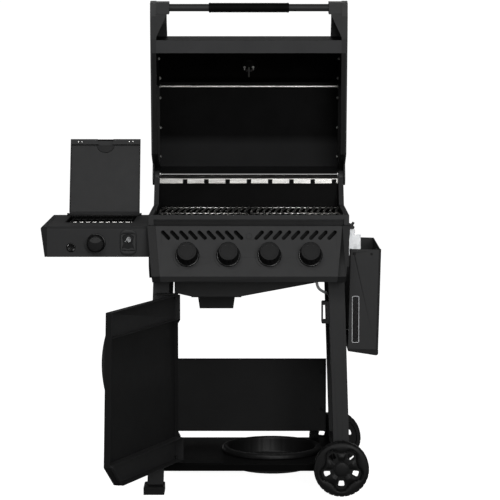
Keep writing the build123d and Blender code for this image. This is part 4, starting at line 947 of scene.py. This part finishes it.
piece("burner_grate_cross_rod", mesh, "rod", "cart", "stainless")

# side burner lid, drawn closed: two pairs of small bumpers and the finger scoop on its underside
side_lid_y = -100.0
mesh = bmesh.new()
for side in (-1, 1):
    for step in (-6, 6):
        add_turned(mesh, SIDE_LID_OPENED @ facing(mm(burner_x + side * 88 + step, side_lid_y + 9, 877),
                                                  (0, 0, -1)),
                   [(2.9, -1), (2.9, 0.4), (2.4, 1.4), (1.2, 1.8)], 16)
piece("side_lid_bumpers", mesh, "zinc", "side_burner_lid", "fastener")
mesh = bmesh.new()
scoop = [(30 * cos(pi * i / 24), 26 * sin(pi * i / 24)) for i in range(25)]
scoop_place = SIDE_LID_OPENED @ facing(mm(burner_x, side_lid_y + 20, 887.6), (0, 0, -1), (1, 0, 0))
add_plate(mesh, scoop_place, [(x, -y) for x, y in scoop][::-1], 0, 3.4, 1.0)
piece("side_lid_scoop", mesh, "nylon", "side_burner_lid", "moulded_black")

# ---------------------------------------------------------------- bottle well
WELL_X, WELL_Y = middle("bottle_well").x / MM, middle("bottle_well").y / MM
WELL_RIBS = 24


def well_shape(angle, radius, height):
    """Fine upright seams round the well's wall and collar."""
    across = abs((angle * WELL_RIBS / (2 * pi)) % 1 - 0.5)
    return radius - (0.7 if across > 0.475 and radius > 121 else 0)


mesh = bmesh.new()
well_profile = [(4, 40), (118, 40), (124, 41), (149, 60), (149.5, 64), (149.5, 96.9), (166, 97.1),
                (168.6, 98.2), (169, 101), (168, 106), (166.5, 110), (163.6, 113.2), (160, 114.5),
                (153, 114.5), (149.4, 113.2), (147, 110.4), (146, 106), (146, 66), (143.4, 61), (125, 45.4),
                (120, 43.2), (4, 43)]
rings = []
WELL_STEPS = 192
for radius, height in well_profile:
    ring = []
    for i in range(WELL_STEPS):
        angle = 2 * pi * i / WELL_STEPS
        r = well_shape(angle, radius, height)
        ring.append(mm(WELL_X + r * cos(angle), WELL_Y + r * sin(angle), height))
    rings.append(ring)
add_rings(mesh, rings)
piece("bottle_well_moulding", mesh, "tyre", "cart", "moulded_black", ["bottle_well"], 40)

# ---------------------------------------------------------------- hose and regulator
HOSE_ROUTE = [
    (218, -262.6, 742), (218, -262.6, 706), (224, -240, 675), (246, -203, 657), (276, -168, 642),
    (293, -146, 606), (298, -138, 552), (299, -136, 490), (296, -133, 425), (298, -135, 350),
    (298, -135, 275),
]
HOSE_LENGTH, HOSE_DIAMETER = 0.543, 0.009
route = bpy.data.curves.new("gas_hose_line", "CURVE")
route.dimensions = "3D"
route.bevel_depth = HOSE_DIAMETER / 2
route.bevel_resolution = 6
route.resolution_u = 24
route.use_fill_caps = True
spline = route.splines.new("NURBS")
spline.points.add(len(HOSE_ROUTE) - 1)
for point, place in zip(spline.points, HOSE_ROUTE):
    point.co = (*mm(*place), 1)
spline.order_u = 3
spline.use_endpoint_u = True
route.materials.append(MATERIALS["hose"])
hose = bpy.data.objects.new("gas_hose_line", route)
bpy.context.scene.collection.objects.link(hose)
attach(hose, "cart")
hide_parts("gas_hose")

REG_X, REG_Y, REG_TOP = HOSE_ROUTE[-1]
mesh = bmesh.new()
regulator = Matrix.Translation(mm(REG_X, REG_Y, 0))
add_turned(mesh, regulator, [(6, REG_TOP), (8, REG_TOP - 0.6), (8, REG_TOP - 22), (7, REG_TOP - 23),
                             (7, REG_TOP - 34)],
           32, lambda angle, radius, height: radius - (0.8 if height > REG_TOP - 20 and radius > 7.5 and
                                                       int((REG_TOP - height) / 3) % 2 else 0))
disc = facing(mm(REG_X + 17, REG_Y, REG_TOP - 66), (1, 0, 0), (0, 1, 0))
add_turned(mesh, disc, [(20, -34), (30, -33), (33, -30), (33.6, -20), (34, -19), (34, -13), (33.6, -12),
                        (32, -7), (27, -2.6), (18, -0.6), (6, 0)], 64)
add_turned(mesh, regulator, [(9, REG_TOP - 96), (9, REG_TOP - 118)], 6)
piece("regulator_body", mesh, "die_cast", "cart", "regulator", ["gas_regulator"], 40)
mesh = bmesh.new()
add_turned(mesh, regulator, [(14, REG_TOP - 112), (15.6, REG_TOP - 113.5), (16, REG_TOP - 116),
                             (16, REG_TOP - 134), (15.4, REG_TOP - 137), (14, REG_TOP - 138)], 96,
           lambda angle, radius, height: radius - 0.9 * (0.5 + 0.5 * cos(16 * angle)) ** 3 * (radius > 15.5))
vent = facing(mm(REG_X + 17, REG_Y, REG_TOP - 66), (1, 0, 0), (0, 1, 0))
add_turned(mesh, vent, [(7, -1.5), (7, -0.2), (6, 0.4), (2, 0.5)], 6)
piece("regulator_nut", mesh, "nylon", "cart", "regulator")
mesh = bmesh.new()
for clamp_z in (REG_TOP + 2, HOSE_ROUTE[0][2] - 14):
    clamp_x, clamp_y = (REG_X, REG_Y) if clamp_z < 400 else HOSE_ROUTE[0][:2]
    add_turned(mesh, Matrix.Translation(mm(clamp_x, clamp_y, clamp_z)),
               [(4.7, 0), (5.4, 0.4), (5.4, 9.6), (4.7, 10)], 28)
piece("hose_ferrules", mesh, "zinc", "cart", "fastener")

# ---------------------------------------------------------------- door handle
DOOR_FRONT_Y = -268.0
mesh = bmesh.new()
BOW_MIDDLE_Z, BOW_NEAR_X, BOW_WEB_X, BOW_FAR_X = 492.0, 212.3, 222.0, 230.0


def bow_bulge(along, half_chord, rise):
    """How far a flat arc of the given half chord and rise stands out at a distance from its middle."""
    radius = (half_chord ** 2 + rise ** 2) / (2 * rise)
    return max((radius ** 2 - along ** 2) ** 0.5 - (radius - rise), 0.05)


rings = []
for i in range(37):
    along = 109.6 * cos(pi * i / 36)
    out, pocket = bow_bulge(along, 110, 20), bow_bulge(min(abs(along), 96), 96, 16)
    edge = min(2.0, 0.3 * out)
    section = ((BOW_WEB_X, 0), (BOW_FAR_X, 0), (BOW_FAR_X, 0.30 * out), (BOW_FAR_X - 1.2, 0.36 * out),
               (BOW_FAR_X - 1.2, 0.50 * out), (BOW_FAR_X, 0.56 * out), (BOW_FAR_X, out - edge),
               (BOW_FAR_X - 0.6, out - 0.3 * edge), (BOW_FAR_X - 2, out), (BOW_NEAR_X + 1.7, out),
               (BOW_NEAR_X + 0.4, out - 0.3 * edge), (BOW_NEAR_X, out - edge),
               (BOW_NEAR_X, min(pocket, out - edge)), (BOW_WEB_X, min(pocket, out - edge)))
    rings.append([DOOR_OPENED @ mm(x, DOOR_FRONT_Y - y, BOW_MIDDLE_Z + along) for x, y in section])
add_rings(mesh, rings)
piece("door_handle_bow", mesh, "powder", "door", "moulded_black", ["door_handle"], 60)

# ---------------------------------------------------------------- badge, emboss and screws
fascia_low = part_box("right_shelf_fascia")[0]
badge_place = facing(Vector((0.347, fascia_low.y, 0.573)), (0, -1, 0))
mesh = bmesh.new()
add_plate(mesh, badge_place, rounded_outline(22, 152, 4), 0.0, 1.2, 0.4)
piece("badge_plate", mesh, "gloss", "right_shelf", "moulded_black")
mesh = bmesh.new()
add_frame(mesh, badge_place, 23.4, 153.4, 4.6, 1.9, 0.0, 1.6)
piece("badge_border", mesh, "badge", "right_shelf", "moulded_black")

mesh = bmesh.new()
add_screw(mesh, facing(Vector((0.398, fascia_low.y, 0.787)), (0, -1, 0)), 4.2, 1.8)
piece("fascia_screw", mesh, "nylon", "right_shelf", "moulded_black")
mesh = bmesh.new()
fold_x, fold_z = JOINTS["right_shelf_fold"]["pos_m"][::2]
add_screw(mesh, facing(Vector((fold_x, fascia_low.y - 0.0006, fold_z)), (0, -1, 0)), 5.4, 2.0)
piece("fold_pin_head", mesh, "nylon", "cart", "moulded_black")

PANEL_BEND, PANEL_TOP = (-332.0, 724.0), (-262.0, 880.0)
panel_out = (0, PANEL_BEND[1] - PANEL_TOP[1], PANEL_TOP[0] - PANEL_BEND[0])
emboss_at = lid_point(PANEL_BEND, PANEL_TOP, 0.80)
mesh = bmesh.new()
add_turned(mesh, facing(mm(0, *emboss_at), panel_out),
           [(10.5, 0.0), (10.5, 0.5), (9.9, 0.7), (9.3, 0.5), (9, 0.2)], 40)
piece("panel_emboss", mesh, "powder", "cart", "cart_paint")

mesh = bmesh.new()
for screw_z in (200, 330):
    for side in (-1, 1):
        add_screw(mesh, facing(mm(side * 255, 195, screw_z), (0, -1, 0)), 5, 2.8)
piece("cart_button_screws", mesh, "nylon", "cart", "fastener", ["cart_screws"])


# ---------------------------------------------------------------- floor, world and lights
FLOOR_REACH, FLOOR_DROP, FLOOR_GLOW = 45.0, 0.0005, 0.97
floor_paper = bpy.data.materials.new("pale_floor")
floor_paper.use_nodes = True
paper_shader = floor_paper.node_tree.nodes["Principled BSDF"]
paper_shader.inputs["Base Color"].default_value = (0.86, 0.86, 0.86, 1)
paper_shader.inputs["Roughness"].default_value = 0.9
paper_shader.inputs["Specular IOR Level"].default_value = 0.1
paper_shader.inputs["Emission Color"].default_value = (1, 1, 1, 1)
paper_shader.inputs["Emission Strength"].default_value = FLOOR_GLOW
mesh = bmesh.new()
corners = ((-1, -1), (1, -1), (1, 1), (-1, 1))
mesh.faces.new([mesh.verts.new((x * FLOOR_REACH, y * FLOOR_REACH, -FLOOR_DROP)) for x, y in corners])
floor_data = bpy.data.meshes.new("floor")
mesh.to_mesh(floor_data)
mesh.free()
floor_data.materials.append(floor_paper)
floor = bpy.data.objects.new("floor", floor_data)
floor.visible_diffuse = False
floor.visible_glossy = False
bpy.context.scene.collection.objects.link(floor)

# the studio: dim above and below, white along the horizon behind the floor
world = bpy.data.worlds.new("studio")
world.use_nodes = True
studio = world.node_tree
direction = studio.nodes.new("ShaderNodeTexCoord").outputs["Generated"]
split = studio.nodes.new("ShaderNodeSeparateXYZ")
studio.links.new(direction, split.inputs["Vector"])
lift = studio.nodes.new("ShaderNodeMapRange")
lift.inputs["From Min"].default_value = -1
studio.links.new(split.outputs["Z"], lift.inputs["Value"])
ramp = studio.nodes.new("ShaderNodeValToRGB")
GROUND_SHADE, SKY_SHADE, STUDIO_STRENGTH = 0.10, 0.08, 1.05
GROUND_END, WHITE_LOW, WHITE_HIGH, SKY_START = 0.470, 0.476, 0.512, 0.53   # 0 straight down, 1 straight up
bands = ((0.0, GROUND_SHADE), (GROUND_END, GROUND_SHADE), (WHITE_LOW, 1.0),
         (WHITE_HIGH, 1.0), (SKY_START, SKY_SHADE), (1.0, SKY_SHADE))
for i, (level, shade) in enumerate(bands):
    stops = ramp.color_ramp.elements
    stop = stops[i] if i < 2 else stops.new(level)
    stop.position = level
    stop.color = (shade, shade, shade, 1)
studio.links.new(lift.outputs["Result"], ramp.inputs["Fac"])
studio.links.new(ramp.outputs["Color"], studio.nodes["Background"].inputs["Color"])
studio.nodes["Background"].inputs["Strength"].default_value = STUDIO_STRENGTH
bpy.context.scene.world = world
bpy.context.scene.view_settings.view_transform = "Standard"


def softbox(name, place, aim, wide, high, power):
    """A soft rectangular lamp at a place, aimed at a point, both in metres."""
    lamp = bpy.data.lights.new(name, "AREA")
    lamp.shape = "RECTANGLE"
    lamp.size, lamp.size_y = wide, high
    lamp.energy = power
    holder = bpy.data.objects.new(name, lamp)
    holder.location = place
    holder.rotation_euler = (Vector(aim) - Vector(place)).to_track_quat("-Z", "Y").to_euler()
    bpy.context.scene.collection.objects.link(holder)


softbox("key_light", (-0.5, -3.5, 3.3), (0, 0, 0.9), 2.4, 1.3, 68)
softbox("fill_light", (1.5, -5.6, 2.0), (0, 0, 0.9), 2.0, 2.0, 120)
softbox("rear_light", (0.0, 2.6, 3.2), (0, 0, 0.9), 2.0, 1.0, 8)
